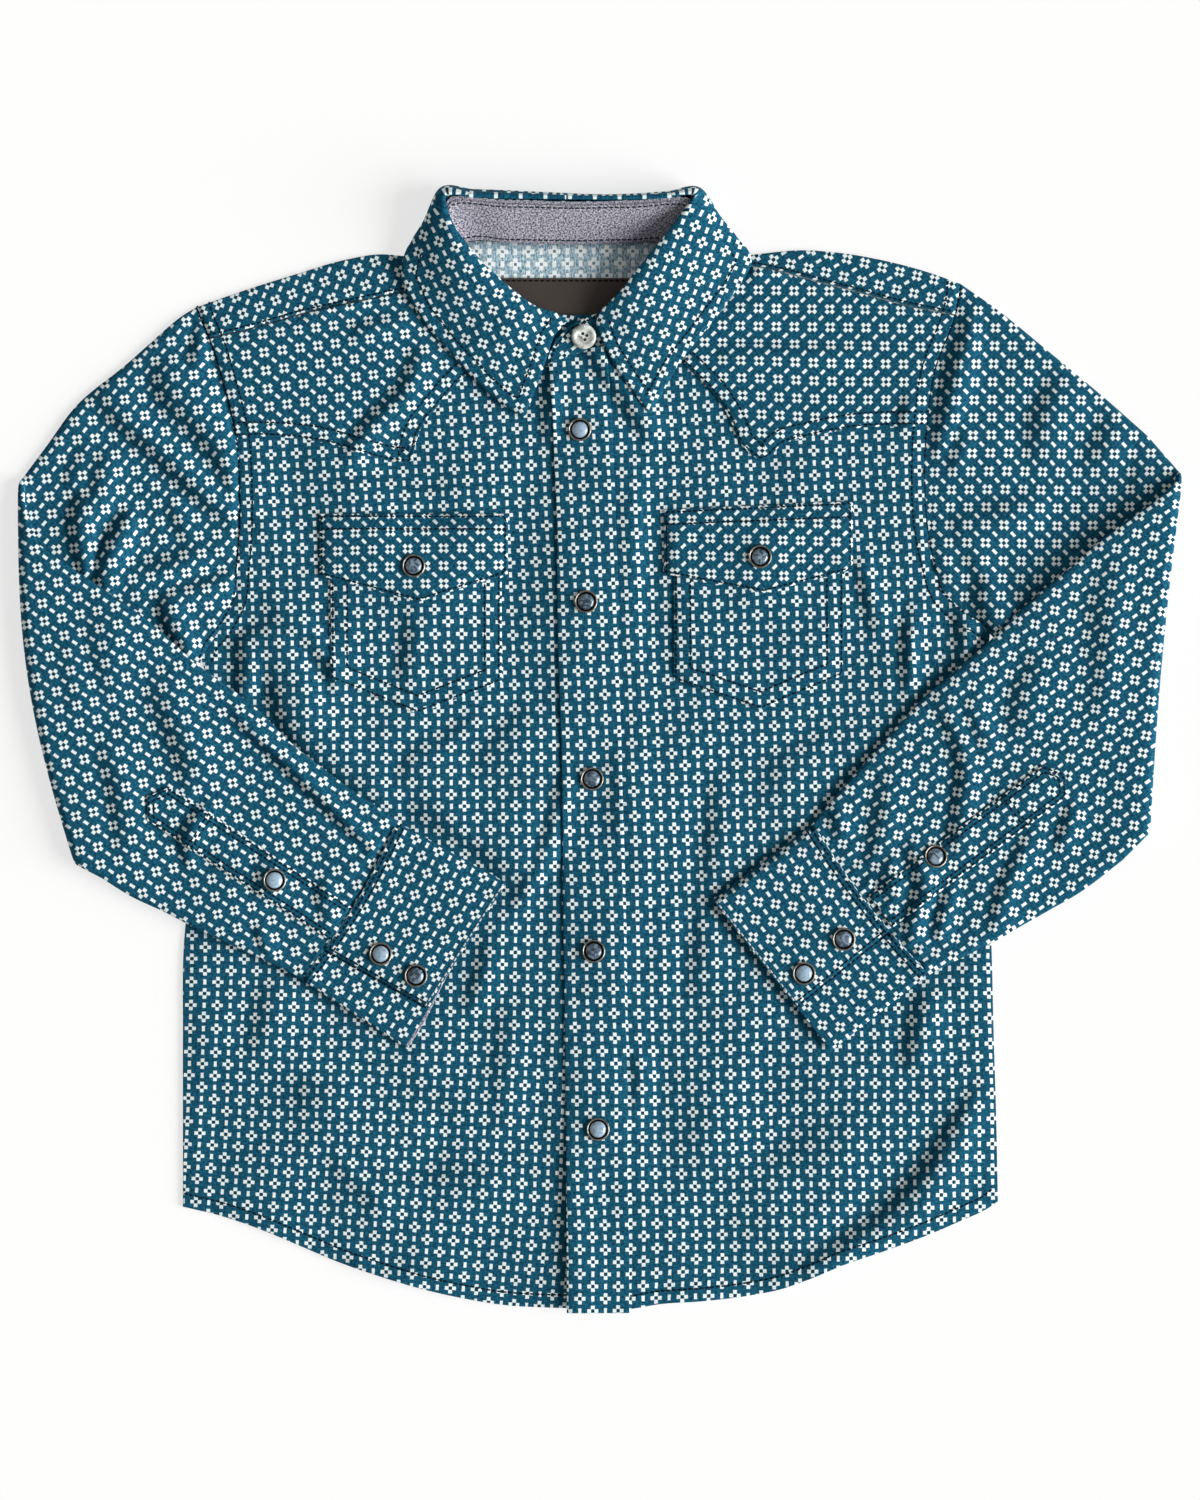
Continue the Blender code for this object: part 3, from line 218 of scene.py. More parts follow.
# Hem: x, y
HEM = ((-191.8, -210.0), (-174.0, -214.3), (-156.4, -220.3), (-137.5, -228.2), (-121.4, -235.0),
       (-101.2, -242.0), (-81.0, -248.0), (-63.5, -252.0), (-47.4, -254.8), (-15.0, -256.6),
       (14.0, -257.0), (27.6, -254.8), (46.5, -253.5), (68.0, -251.0), (83.0, -248.0),
       (96.0, -243.4), (111.3, -236.9), (130.2, -230.5), (150.4, -223.1), (166.5, -216.2),
       (178.5, -210.7), (183.0, -207.5))

# Top edges of the fronts, along the shoulder seam and then the neckline: x, y
TOP_RIGHT = ((-179.4, 189.0), (-157.0, 194.5), (-138.0, 200.0), (-113.0, 205.6), (-91.0, 210.4),
             (-78.0, 212.6), (-70.0, 209.0), (-58.8, 197.8), (-42.6, 185.8), (-24.5, 176.6),
             (-6.0, 172.6), (12.0, 172.2))
TOP_LEFT = ((-24.5, 177.6), (-14.0, 181.4), (-2.0, 185.0), (12.5, 187.8), (25.8, 191.6),
            (37.0, 198.6), (45.6, 210.6), (51.0, 218.0), (58.0, 222.4), (70.0, 222.0),
            (83.0, 219.6), (100.7, 214.8), (118.7, 210.2), (138.0, 204.8), (163.0, 199.6))
NECK_POINT_RIGHT_ROW = 5
NECK_POINT_LEFT_ROW = 8

# Fold of the shoulders, from armhole to neck point, and the seam in front of it: x, y
SHOULDER_RIGHT = ((-185.0, 203.8), (-162.8, 211.6), (-140.8, 218.5), (-117.3, 225.4),
                  (-100.7, 228.0), (-90.6, 227.2), (-77.0, 226.0))
SHOULDER_LEFT = ((165.6, 214.4), (151.8, 219.4), (131.0, 225.0), (110.4, 228.6),
                 (91.0, 229.8), (77.3, 228.6), (57.0, 226.0))
STRIP_END_RIGHT = ((-179.4, 189.6), (-157.0, 195.1), (-138.0, 200.6), (-113.0, 206.2),
                   (-91.0, 211.0), (-78.0, 213.3))
STRIP_END_LEFT = ((163.0, 200.3), (138.0, 205.5), (118.7, 210.9), (100.7, 215.5),
                  (83.0, 220.3), (70.0, 222.7), (58.0, 223.1))

# Back neckline between the neck points: x, y
BACK_NECK = ((-77.0, 226.0), (-72.0, 229.2), (-64.0, 232.8), (-40.0, 233.3), (-12.0, 232.9),
             (14.0, 233.3), (30.0, 233.3), (45.0, 230.4), (57.0, 226.0))
YOKE_SEAM_NODE = 6

# Front placket edges, from the neck down: y, x on its open edge, x on its stitched edge
PLACKET = ((186.0, -23.8, 2.6), (160.0, -21.8, 4.9), (138.0, -21.2, 5.9), (116.0, -20.2, 6.9),
           (88.0, -19.8, 7.8), (49.0, -19.3, 8.7), (0.0, -17.8, 9.9), (-69.0, -17.0, 11.2),
           (-161.0, -15.8, 12.6), (-258.8, -15.2, 13.8))

# Lower edges of the front yokes, from the armhole to the neck: x, y, and the row of the point
YOKE_FOOT_RIGHT = ((-166.0, 144.0), (-151.8, 144.0), (-127.0, 141.3), (-110.4, 136.6),
                   (-97.0, 133.0), (-87.0, 132.0), (-82.3, 148.0), (-74.1, 158.7),
                   (-64.9, 169.3), (-60.0, 174.0))
YOKE_FOOT_LEFT = ((150.5, 149.0), (115.9, 147.7), (96.6, 144.0), (82.8, 139.8), (77.5, 134.4),
                  (73.0, 133.2), (65.3, 139.8), (59.8, 151.8), (51.5, 164.7), (38.6, 177.6))
YOKE_POINT_ROW = 5
YOKE_INNER_RIGHT = -60.0
YOKE_INNER_LEFT = 39.0

# Patch pockets and their flaps: x of both sides, y of the top, and y of the foot at the first
# side, the point and the second side
POCKET_RIGHT = {"x": (-124.0, -45.2), "point_x": -83.7, "top": (101.0, 101.0),
                "foot": (32.6, 16.6, 31.4)}
POCKET_LEFT = {"x": (33.8, 112.2), "point_x": 74.1, "top": (103.0, 106.5),
               "foot": (32.2, 18.4, 34.5)}
FLAP_RIGHT = {"x": (-129.0, -42.4), "point_x": -83.3, "top": (108.6, 108.6),
              "foot": (80.2, 68.1, 81.0)}
FLAP_LEFT = {"x": (29.4, 116.2), "point_x": 75.4, "top": (110.4, 114.5),
             "foot": (81.0, 72.2, 82.8)}

# Stand: seam with the neckline and top edge, from the lapped-under end round to the tab
# seam x, y, z, top x, y, z
STAND = ((6.0, 173.5, 1.85, 5.0, 199.5, 2.5),
         (-6.0, 173.8, 1.85, -5.0, 200.0, 2.6),
         (-24.0, 178.0, 1.9, -20.0, 200.5, 3.1),
         (-42.0, 187.0, 2.3, -34.0, 206.5, 6.0),
         (-58.0, 199.0, 3.2, -46.0, 216.5, 11.0),
         (-69.0, 210.5, 4.6, -57.0, 227.0, 14.8),
         (-75.0, 220.0, 5.2, -66.0, 239.0, 16.0),
         (-73.0, 229.0, 4.6, -71.0, 248.0, 16.0),
         (-64.0, 233.0, 3.4, -70.0, 252.5, 15.5),
         (-40.0, 233.2, 3.4, -44.0, 252.5, 15.0),
         (-12.0, 232.8, 3.4, -10.0, 251.8, 15.0),
         (14.0, 233.2, 3.4, 18.0, 252.5, 15.0),
         (30.0, 233.6, 3.4, 40.5, 253.0, 15.5),
         (46.0, 231.0, 4.6, 42.0, 247.5, 16.0),
         (49.5, 222.0, 5.6, 35.0, 240.0, 16.0),
         (45.0, 211.0, 5.2, 27.0, 231.0, 15.2),
         (36.0, 199.0, 4.6, 18.5, 220.0, 12.8),
         (25.0, 191.0, 4.2, 9.0, 208.5, 9.4),
         (12.0, 187.6, 4.1, 1.0, 201.5, 6.4),
         (-2.0, 184.8, 4.1, -4.5, 199.6, 4.9),
         (-14.0, 181.2, 4.1, -14.5, 194.6, 4.5),
         (-21.5, 178.4, 4.1, -21.5, 186.5, 4.4),
         (-24.4, 177.4, 4.1, -24.2, 179.4, 4.2))

# Leaf: sections from the front edge of the right leaf, round the back, to the left leaf.
# Five points from the roll to the outer edge: x, y, z each
LEAF = ((-15.0, 197.0, 5.9, -18.0, 194.0, 6.3, -21.6, 189.0, 6.3, -25.5, 177.0, 5.9, -34.5, 153.0, 4.2),
        (-20.0, 200.8, 6.7, -24.0, 197.0, 7.2, -29.0, 189.0, 7.0, -35.0, 177.0, 6.1, -45.0, 158.7, 4.5),
        (-28.5, 203.5, 8.0, -32.0, 199.0, 8.8, -38.0, 190.0, 8.0, -45.0, 180.0, 6.6, -54.3, 167.0, 5.2),
        (-37.7, 209.5, 10.6, -42.0, 205.0, 11.2, -49.0, 198.5, 9.2, -59.0, 191.0, 7.0, -70.8, 184.5, 5.6),
        (-48.3, 218.6, 13.7, -53.0, 215.0, 14.2, -61.0, 210.0, 11.5, -71.0, 205.0, 8.0, -83.7, 201.0, 5.9),
        (-58.9, 228.4, 16.2, -63.0, 226.5, 17.0, -71.0, 223.0, 14.0, -80.0, 220.0, 9.5, -91.0, 217.6, 6.6),
        (-66.0, 238.8, 17.2, -69.5, 238.5, 17.6, -77.0, 236.0, 14.5, -85.0, 234.0, 9.5, -87.5, 231.5, 6.8),
        (-70.0, 248.5, 17.3, -72.5, 249.0, 17.6, -77.5, 248.0, 13.5, -79.5, 244.5, 6.5, -77.5, 237.5, 1.7),
        (-70.5, 253.9, 17.0, -72.0, 255.0, 17.2, -73.6, 256.6, 12.5, -73.6, 255.2, 3.5, -70.5, 235.0, 0.75),
        (-57.0, 253.4, 16.7, -57.5, 254.9, 17.0, -58.0, 256.0, 12.3, -58.0, 255.2, 2.6, -57.0, 232.0, 0.65),
        (-26.0, 252.9, 16.5, -26.0, 254.3, 16.8, -26.0, 254.4, 12.2, -26.0, 254.2, 2.4, -26.0, 231.6, 0.65),
        (5.0, 252.7, 16.5, 5.0, 253.7, 16.8, 5.0, 253.5, 12.2, 5.0, 253.2, 2.4, 5.0, 231.6, 0.65),
        (30.0, 253.2, 16.7, 30.5, 254.6, 17.0, 31.0, 255.0, 12.3, 31.0, 254.4, 2.6, 30.0, 232.0, 0.65),
        (43.0, 254.3, 17.0, 44.0, 255.7, 17.2, 45.6, 257.0, 12.5, 46.0, 255.6, 3.5, 43.0, 234.5, 0.75),
        (39.0, 248.5, 17.3, 42.0, 249.3, 17.7, 50.0, 250.0, 13.5, 53.5, 246.5, 6.5, 51.5, 239.5, 1.7),
        (32.0, 239.0, 17.2, 36.0, 238.0, 17.7, 48.0, 238.0, 15.0, 60.0, 236.5, 9.8, 65.0, 232.5, 6.8),
        (24.5, 229.5, 16.6, 29.0, 228.0, 17.2, 41.0, 227.0, 14.8, 56.0, 226.0, 10.4, 69.5, 224.5, 7.0),
        (17.0, 220.5, 14.4, 21.5, 218.0, 15.0, 33.0, 215.5, 12.8, 47.0, 213.0, 9.3, 62.0, 210.7, 6.2),
        (9.5, 211.0, 11.2, 14.0, 208.0, 12.0, 24.0, 203.0, 10.3, 35.0, 197.5, 8.0, 47.0, 191.0, 6.0),
        (3.0, 204.5, 8.8, 7.5, 201.0, 9.4, 16.0, 193.5, 8.8, 25.0, 185.0, 7.6, 35.0, 175.5, 6.2),
        (-0.5, 200.6, 7.4, 3.0, 197.0, 7.8, 9.5, 187.0, 7.6, 17.0, 174.5, 7.0, 26.5, 160.0, 6.2),
        (-1.6, 196.6, 6.8, -0.4, 191.5, 7.1, 2.7, 184.0, 7.2, 10.5, 171.0, 6.8, 22.0, 155.3, 6.3))

# Lining inside the stand: its part of the stand's length and height
LINING_PART = (0.27, 0.69)
LINING_RISE = (0.03, 0.93)
NECK_MIDDLE = (-14.0, 212.0, 26.0)

# How far the leaf's outer edge settles onto the yokes
LEAF_SETTLE = 1.3

# Sleeves: rows from the armhole to the elbow, then from the elbow to the cuff seam.
# Upper edge x, y, underarm edge x, y, height of the underside at each edge
UPPER_ARM_RIGHT = ((-185.0, 203.8, -183.5, 43.2, 0.0, 0.0),
                   (-196.0, 196.5, -187.0, 34.0, 0.0, 0.0),
                   (-218.0, 177.0, -196.5, 17.0, 0.0, 0.0),
                   (-240.0, 159.0, -208.0, -3.0, 0.0, 0.0),
                   (-255.0, 139.0, -222.0, -28.0, 0.0, 0.0))
ELBOW_RIGHT = {"upper": (-267.6, 121.5), "under": (-241.5, -52.0), "bulge": 8.4, "lift": (2.0, 2.0)}
FOREARM_RIGHT = ((-258.0, 93.5, -229.0, -58.5, 4.1, 3.6),
                 (-231.0, 75.5, -215.0, -67.2, 4.1, 3.0),
                 (-207.0, 58.5, -200.0, -74.2, 4.1, 3.2),
                 (-184.5, 38.5, -185.0, -82.0, 4.1, 3.9),
                 (-159.2, 20.0, -171.0, -88.6, 4.1, 4.1),
                 (-142.1, 3.0, -160.5, -93.4, 4.1, 4.1),
                 (-118.2, -15.6, -148.5, -99.0, 4.1, 4.1),
                 (-102.0, -26.6, -140.0, -103.6, 4.1, 4.1),
                 (-91.9, -33.8, -136.0, -106.2, 4.1, 4.1))
UPPER_ARM_LEFT = ((165.6, 214.4, 179.4, 55.2, 0.0, 0.0),
                  (185.0, 200.6, 186.0, 47.5, 0.0, 0.0),
                  (207.0, 182.6, 197.0, 28.0, 0.0, 0.0),
                  (231.8, 162.0, 214.0, 6.0, 0.0, 0.0),
                  (252.0, 144.2, 233.0, -17.0, 0.0, 0.0))
ELBOW_LEFT = {"upper": (267.8, 125.5), "under": (253.0, -37.3), "bulge": -1.8, "lift": (3.4, 0.0)}
FOREARM_LEFT = ((254.5, 113.8, 240.0, -50.4, 4.1, 3.6),
                (234.6, 99.8, 222.0, -64.2, 4.1, 3.0),
                (214.0, 82.0, 206.0, -73.6, 4.1, 3.0),
                (193.2, 64.0, 192.5, -81.2, 4.1, 3.6),
                (179.4, 50.1, 183.0, -86.8, 4.1, 4.1),
                (160.1, 33.6, 173.0, -91.8, 4.1, 4.1),
                (143.5, 18.4, 165.5, -95.6, 4.1, 4.1),
                (115.0, -13.8, 156.0, -100.2, 4.1, 4.1),
                (96.8, -35.2, 149.8, -104.0, 4.1, 4.1))

# Cuffs: seam and wrist edges at the upper and under fold, and where the top end laps over.
# The seam bows towards the wrist
CUFF_RIGHT = {"seam": ((-91.4, -34.4), (-135.5, -106.9)), "seam_bow": 3.0,
              "wrist": ((-43.2, -61.4), (-91.3, -136.4)),
              "lap": (0.79, 0.755), "wrist_under": 3.0}
CUFF_LEFT = {"seam": ((96.2, -35.8), (149.2, -104.6)), "seam_bow": 2.4,
             "wrist": ((52.0, -69.5), (106.3, -138.5)),
             "lap": (0.69, 0.70), "wrist_under": 0.0}

# Tower plackets of the sleeves: middle line from the cuff seam to the tower's point, and width
TOWER_RIGHT = {"start": (-118.4, -80.3), "end": (-203.0, -24.6), "width": 18.4, "point": 6.0}
TOWER_LEFT = {"start": (129.0, -74.0), "end": (209.0, -14.2), "width": 18.4, "point": 6.0}

# Neck label: its corners
LABEL = {"x": (-46.0, 14.3), "y": (197.6, 217.0)}

# Snaps: name, x, y, and the piece they sit on
SNAPS = (("front_1", -9.2, 147.2, "placket"), ("front_2", -6.4, 68.1, "placket"),
         ("front_3", -3.7, -13.3, "placket"), ("front_4", -2.8, -92.5, "placket"),
         ("front_5", -0.9, -174.3, "placket"), ("flap_right", -85.6, 84.6, "flap_right"),
         ("flap_left", 73.6, 88.8, "flap_left"), ("cuff_right_1", -100.7, -93.8, "cuff_right"),
         ("cuff_right_2", -84.6, -103.7, "cuff_right"), ("cuff_left_1", 93.8, -102.6, "cuff_left"),
         ("cuff_left_2", 112.0, -86.9, "cuff_left"),
         ("sleeve_right", -149.5, -59.8, "sleeve_placket_right"),
         ("sleeve_left", 154.1, -49.0, "sleeve_placket_left"))
BUTTON_AT = (-7.4, 190.0)
BRIGHT_SNAPS = ("front_1", "front_5", "cuff_right_1", "cuff_left_1", "sleeve_right")

# How much the crease tables are raised and widened, and the height that no crest passes
CREASE_GAIN = 2.6
CREASE_WIDEN = 1.12
CREASE_LIMIT = 4.5

# Step of the curve through a crease's places, and the nodes that it is then read at
CREASE_STEP = 4.0
CREASE_NODES = 14

# Creases: places in the photograph along the flank that turns away from the light, height and
# width. The cloth rises to the right of the way that the places run
BODY_CREASES = (
    (((800, 1268), (850, 1240), (897, 1203), (930, 1168), (948, 1135), (965, 1108), (985, 1085)), 1.6, 5.5),
    (((508, 905), (528, 880), (545, 840), (556, 800), (562, 770)), 0.55, 3.0),
    (((530, 890), (494, 856), (459, 830), (424, 806), (390, 786)), 1.7, 9.0),
    (((652, 446), (634, 416), (611, 386), (592, 358), (581, 332)), 1.1, 3.8),
    (((546, 445), (546, 410), (549, 372)), 0.8, 2.2),
    (((400, 816), (372, 801), (340, 778), (308, 752), (284, 722), (274, 685), (264, 645),
      (257, 615)), 2.1, 6.5),
    (((236, 702), (242, 668), (237, 632)), 2.2, 4.0),
    (((335, 700), (328, 670), (315, 650), (292, 628), (262, 606)), 0.8, 2.5),
    (((345, 478), (380, 480), (420, 490), (460, 493), (490, 500)), 0.8, 1.9),
    (((255, 515), (275, 525), (300, 532)), 0.5, 2.2),
    (((350, 328), (378, 322), (410, 318)), 0.9, 2.6),
    (((340, 462), (358, 435), (378, 412), (400, 392), (412, 362), (418, 345)), 1.0, 3.6),
    (((300, 315), (330, 302), (370, 295)), 0.4, 2.4),
    (((716, 305), (745, 302), (780, 304)), 0.6, 2.6),
    (((718, 345), (790, 348), (868, 351)), 0.8, 3.0),
    (((744, 276), (757, 266), (785, 268)), 0.9, 2.4),
    (((898, 432), (903, 412), (906, 392)), 0.5, 3.0),
    (((905, 700), (906, 655), (908, 622), (916, 600)), 1.0, 2.2),
    (((874, 640), (866, 600), (855, 555)), 0.6, 3.0),
    (((958, 668), (961, 636), (954, 602)), 1.1, 3.2),
    (((640, 470), (640, 560), (637, 660)), 0.35, 4.0),
    (((705, 890), (712, 820), (716, 770)), 0.5, 5.0),
    (((690, 1005), (697, 950), (702, 900)), 0.6, 6.0),
    (((648, 1010), (655, 960), (660, 900)), 0.4, 6.0),
    (((300, 1078), (345, 1090), (400, 1105), (445, 1125)), 0.8, 6.0),
    (((365, 1180), (440, 1180), (525, 1172)), 0.7, 7.0),
    (((335, 1150), (358, 1172), (398, 1204)), 0.5, 2.6),
    (((350, 1256), (385, 1270), (425, 1280)), 0.7, 3.6),
    (((462, 1015), (476, 980), (488, 945)), 0.5, 3.6),
    (((497, 1140), (500, 1060), (503, 1000)), 0.3, 5.0),
    (((905, 1070), (915, 1025), (925, 985)), 0.9, 5.0),
    (((632, 1110), (636, 1085), (632, 1050)), 0.4, 3.0),
    (((250, 1060), (262, 1010), (275, 975)), 0.4, 6.0),
    (((400, 690), (405, 650), (412, 612)), 0.4, 4.0),
    (((470, 760), (500, 740), (530, 700)), 0.4, 6.0),
    (((420, 745), (450, 735), (480, 715)), 0.4, 4.0),
    (((610, 850), (616, 800), (612, 740)), 0.3, 5.0),
    (((760, 800), (790, 760), (830, 740)), 0.5, 7.0),
    (((740, 1180), (800, 1150), (850, 1120)), 0.4, 9.0))
UPPER_ARM_CREASES = (
    (((238, 522), (205, 500), (175, 472), (140, 440), (110, 415), (90, 400)), 1.9, 3.6),
    (((240, 508), (230, 480), (215, 450), (195, 425), (172, 405), (160, 385), (155, 358)), 1.7, 6.0),
    (((190, 372), (196, 345), (200, 320), (200, 306)), 0.8, 2.5),
    (((234, 405), (224, 375), (213, 350), (204, 330)), 0.6, 2.0),
    (((86, 582), (76, 550), (75, 520), (84, 490)), 1.9, 3.4),
    (((96, 592), (105, 560), (115, 535), (130, 508)), 2.0, 3.0),
    (((94, 520), (98, 480), (106, 448)), 0.8, 4.0),
    (((110, 560), (140, 568), (175, 560), (205, 548)), 0.9, 5.0),
    (((150, 600), (175, 592), (205, 583), (238, 572)), 1.0, 3.4),
    (((190, 660), (176, 638), (166, 614), (168, 596)), 1.8, 3.2),
    (((186, 548), (178, 525), (165, 500)), 0.5, 3.0),
    (((60, 500), (75, 470), (90, 440)), 0.5, 5.0),
    (((926, 460), (935, 430), (944, 400), (952, 370), (959, 335), (962, 300)), 1.5, 3.6),
    (((1000, 632), (1045, 594), (1080, 564), (1115, 535), (1155, 505), (1186, 477), (1225, 444)), 2.5, 13.0),
    (((1002, 640), (985, 612), (972, 588)), 1.6, 5.0),
    (((1040, 470), (1035, 440), (1045, 405), (1070, 368)), 0.9, 6.0),
    (((950, 516), (1000, 510), (1045, 498)), 0.9, 5.0),
    (((945, 470), (957, 450), (964, 425)), 0.5, 2.5),
    (((1085, 470), (1100, 440), (1120, 415)), 0.6, 6.0),
    (((985, 600), (975, 570), (962, 545)), 0.5, 4.0))
FOREARM_CREASES = (
    (((374, 852), (345, 825), (315, 795), (285, 765), (255, 738), (228, 712)), 1.4, 2.2),
    (((125, 855), (118, 815), (112, 780), (100, 740)), 0.7, 5.0),
    (((195, 790), (180, 750), (165, 715), (148, 678)), 0.8, 6.0),
    (((188, 868), (184, 840), (196, 815), (214, 800)), 0.9, 2.4),
    (((65, 720), (58, 670), (52, 620)), 0.5, 6.0),
    (((112, 700), (100, 660), (92, 620)), 0.5, 6.0),
    (((330, 925), (320, 900), (325, 875)), 0.5, 3.0),
    (((255, 900), (262, 880), (262, 850)), 0.4, 4.0),
    (((270, 958), (262, 945), (255, 925)), 0.6, 2.0),
    (((905, 942), (912, 912), (920, 890), (914, 864), (904, 842)), 1.2, 2.6),
    (((934, 942), (940, 912), (950, 884)), 0.8, 2.4),
    (((950, 860), (955, 815), (960, 765), (948, 725), (930, 700)), 0.8, 3.6),
    (((990, 935), (1000, 890), (1018, 852), (1034, 822)), 0.6, 3.2),
    (((870, 880), (874, 840), (880, 800), (885, 762)), 0.5, 4.0),
    (((836, 840), (834, 822), (826, 805)), 0.8, 2.6),
    (((1092, 730), (1100, 660), (1100, 600), (1112, 552)), 0.55, 7.0),
    (((985, 762), (976, 730), (962, 700)), 0.7, 3.6),
    (((1052, 850), (1062, 830), (1072, 800)), 0.6, 3.0),
    (((1010, 740), (1020, 690), (1040, 650)), 0.5, 6.0),
    (((893, 905), (885, 880), (893, 850)), 0.6, 2.6))

# Colours, linear RGB
TEAL_LIGHT = (0.0095, 0.1230, 0.2060)
TEAL_DARK = (0.0015, 0.0360, 0.0680)
MOTIF_DARK = (0.0015, 0.0220, 0.0450)
MOTIF_WHITE = (0.81, 0.91, 0.90)
PALE_GROUND = (0.620, 0.790, 0.855)
PALE_DARK = (0.075, 0.170, 0.235)
PALE_WHITE = (0.95, 0.99, 0.98)
THREAD_TEAL = (0.0010, 0.0070, 0.0170)
CHAMBRAY_LIGHT = (0.600, 0.640, 0.690)
CHAMBRAY_VIOLET = (0.480, 0.400, 0.470)
CHAMBRAY_DARK = (0.040, 0.040, 0.085)
THREAD_CHAMBRAY = (0.020, 0.030, 0.055)
THREAD_PALE = (0.62, 0.66, 0.68)
THREAD_LABEL = (0.008, 0.006, 0.005)
LABEL_BROWN = (0.026, 0.018, 0.014)
LABEL_BROWN_LIGHT = (0.050, 0.036, 0.028)
NICKEL = (0.52, 0.47, 0.40)
GROOVE = (0.012, 0.012, 0.014)
PEARL_DARK = (0.018, 0.038, 0.060)
PEARL_LIGHT = (0.33, 0.46, 0.58)
BUTTON_CREAM = (0.26, 0.28, 0.25)
BUTTON_WHITE = (0.80, 0.82, 0.77)
FLOOR_WHITE = (0.30, 0.30, 0.30)

# Light: glow of the white table, fill from all round, and the key with its direction in degrees
FLOOR_GLOW = 0.68
FILL_STRENGTH = 0.30
KEY_STRENGTH = 5.25
KEY_SOFTNESS = 42.0
KEY_TURN = -13.0
KEY_HEIGHT = 25.0

# Floor and camera, in metres; the camera's lens and sensor are in millimetres
FLOOR_HALF = 3.0
CAMERA_HEIGHT = 5.75
CAMERA_LENS = 300.0
CAMERA_SENSOR = 36.0
CAMERA_REACH = 60.0

# What differs between the wearer's right and left; sign is the side of x = 0
RIGHT = SimpleNamespace(
    name="right", sign=-1.0, armhole=ARMHOLE_RIGHT, seam=SIDE_RIGHT, upper_arm=UPPER_ARM_RIGHT,
    elbow=ELBOW_RIGHT, forearm=FOREARM_RIGHT, cuff=CUFF_RIGHT, tower=TOWER_RIGHT,
    pocket=POCKET_RIGHT, flap=FLAP_RIGHT, lean=LEAN_RIGHT, yoke_foot=YOKE_FOOT_RIGHT)
LEFT = SimpleNamespace(
    name="left", sign=1.0, armhole=ARMHOLE_LEFT, seam=SIDE_LEFT, upper_arm=UPPER_ARM_LEFT,
    elbow=ELBOW_LEFT, forearm=FOREARM_LEFT, cuff=CUFF_LEFT, tower=TOWER_LEFT,
    pocket=POCKET_LEFT, flap=FLAP_LEFT, lean=LEAN_LEFT, yoke_foot=YOKE_FOOT_LEFT)
SIDES = (RIGHT, LEFT)


# ---------------------------------------------------------------- curves and grids

def smoothstep(start, stop, value):
    """0 at start, 1 at stop, with level ends."""
    part = np.clip((value - start) / (stop - start), 0.0, 1.0)
    return part * part * (3.0 - 2.0 * part)


def unit(vectors):
    """Vectors of length 1 in the same directions."""
    vectors = np.asarray(vectors, float)
    return vectors / np.maximum(np.linalg.norm(vectors, axis=-1, keepdims=True), TINY)


def hermite(values, knots, where):
    """Smooth curve through the values at rising knots, read at every place in where."""
    values = np.asarray(values, float)
    knots = np.asarray(knots, float)
    where = np.asarray(where, float)
    slopes = np.gradient(values, knots, axis=0)
    index = np.clip(np.searchsorted(knots, where, "right") - 1, 0, len(knots) - 2)
    span = (knots[index + 1] - knots[index]).reshape((-1,) + (1,) * (values.ndim - 1))
    t = np.clip((where - knots[index]).reshape(span.shape) / span, 0.0, 1.0)
    ease = t * t * (3.0 - 2.0 * t)
    pull_in = t * (1.0 - t) ** 2 * span
    pull_out = t * t * (1.0 - t) * span
    level = values[index] * (1.0 - ease) + values[index + 1] * ease
    return level + slopes[index] * pull_in - slopes[index + 1] * pull_out


def table_row(table, part):
    """Row of a table of even steps, read smoothly at a fraction of its length."""
    return hermite(table, np.arange(len(table)), [part * (len(table) - 1)])[0]


def chord_lengths(points):
    """Distance along a line of points."""
    steps = np.linalg.norm(np.diff(np.asarray(points, float), axis=0), axis=1)
    return np.concatenate(([0.0], np.cumsum(steps)))


def smooth_path(rows, corners=(), step=1.5):
    """Close points on a smooth curve through the rows, with sharp corners at the given rows."""
    rows = np.asarray(rows, float)
    stops = [0, *corners, len(rows) - 1]
    parts = []
    for first, last in zip(stops, stops[1:]):
        stretch = rows[first:last + 1]
        knots = chord_lengths(stretch)
        where = np.linspace(0.0, knots[-1], max(2, int(knots[-1] / step) + 1))
        parts.append(hermite(stretch, knots, where)[1 if parts else 0:])
    return np.vstack(parts)


def read_along(path, parts):
    """Points of a path at fractions of its length."""
    knots = chord_lengths(path)
    return np.column_stack([np.interp(parts * knots[-1], knots, column) for column in np.transpose(path)])


def resample(path, count):
    """count points at even distances along a path."""
    return read_along(path, np.linspace(0.0, 1.0, count))


def closed_line(corners):
    """Closed path through corners."""
    return np.vstack((corners, corners[:1]))


def reader(path, key=0, value=1):
    """Function that reads one coordinate of a path at another."""
    order = np.argsort(path[:, key], kind="stable")
    keys, values = path[order, key], path[order, value]
    return lambda where: np.interp(where, keys, values)


def constant(number):
    """Function that always gives the number."""
    return lambda where: np.full(np.shape(where), float(number))


def spaced(length, step=GRID_STEP, fine=EDGE_STEPS):
    """Fractions of a length: close together at both ends, even between them."""
    ends = np.array(fine) / length
    count = max(3, int(round((length - 2.0 * fine[-1]) / step)) + 1)
    middle = np.linspace(ends[-1], 1.0 - ends[-1], count)
    return np.concatenate((ends, middle[1:-1], (1.0 - ends)[::-1]))


def crossed(up, across):
    """Two lists of values as grids: up runs along the rows, across along the columns."""
    return np.meshgrid(up, across, indexing="ij")


def stack(x, y, z):
    """Grid of points."""
    return np.stack((x, y, z), axis=-1)


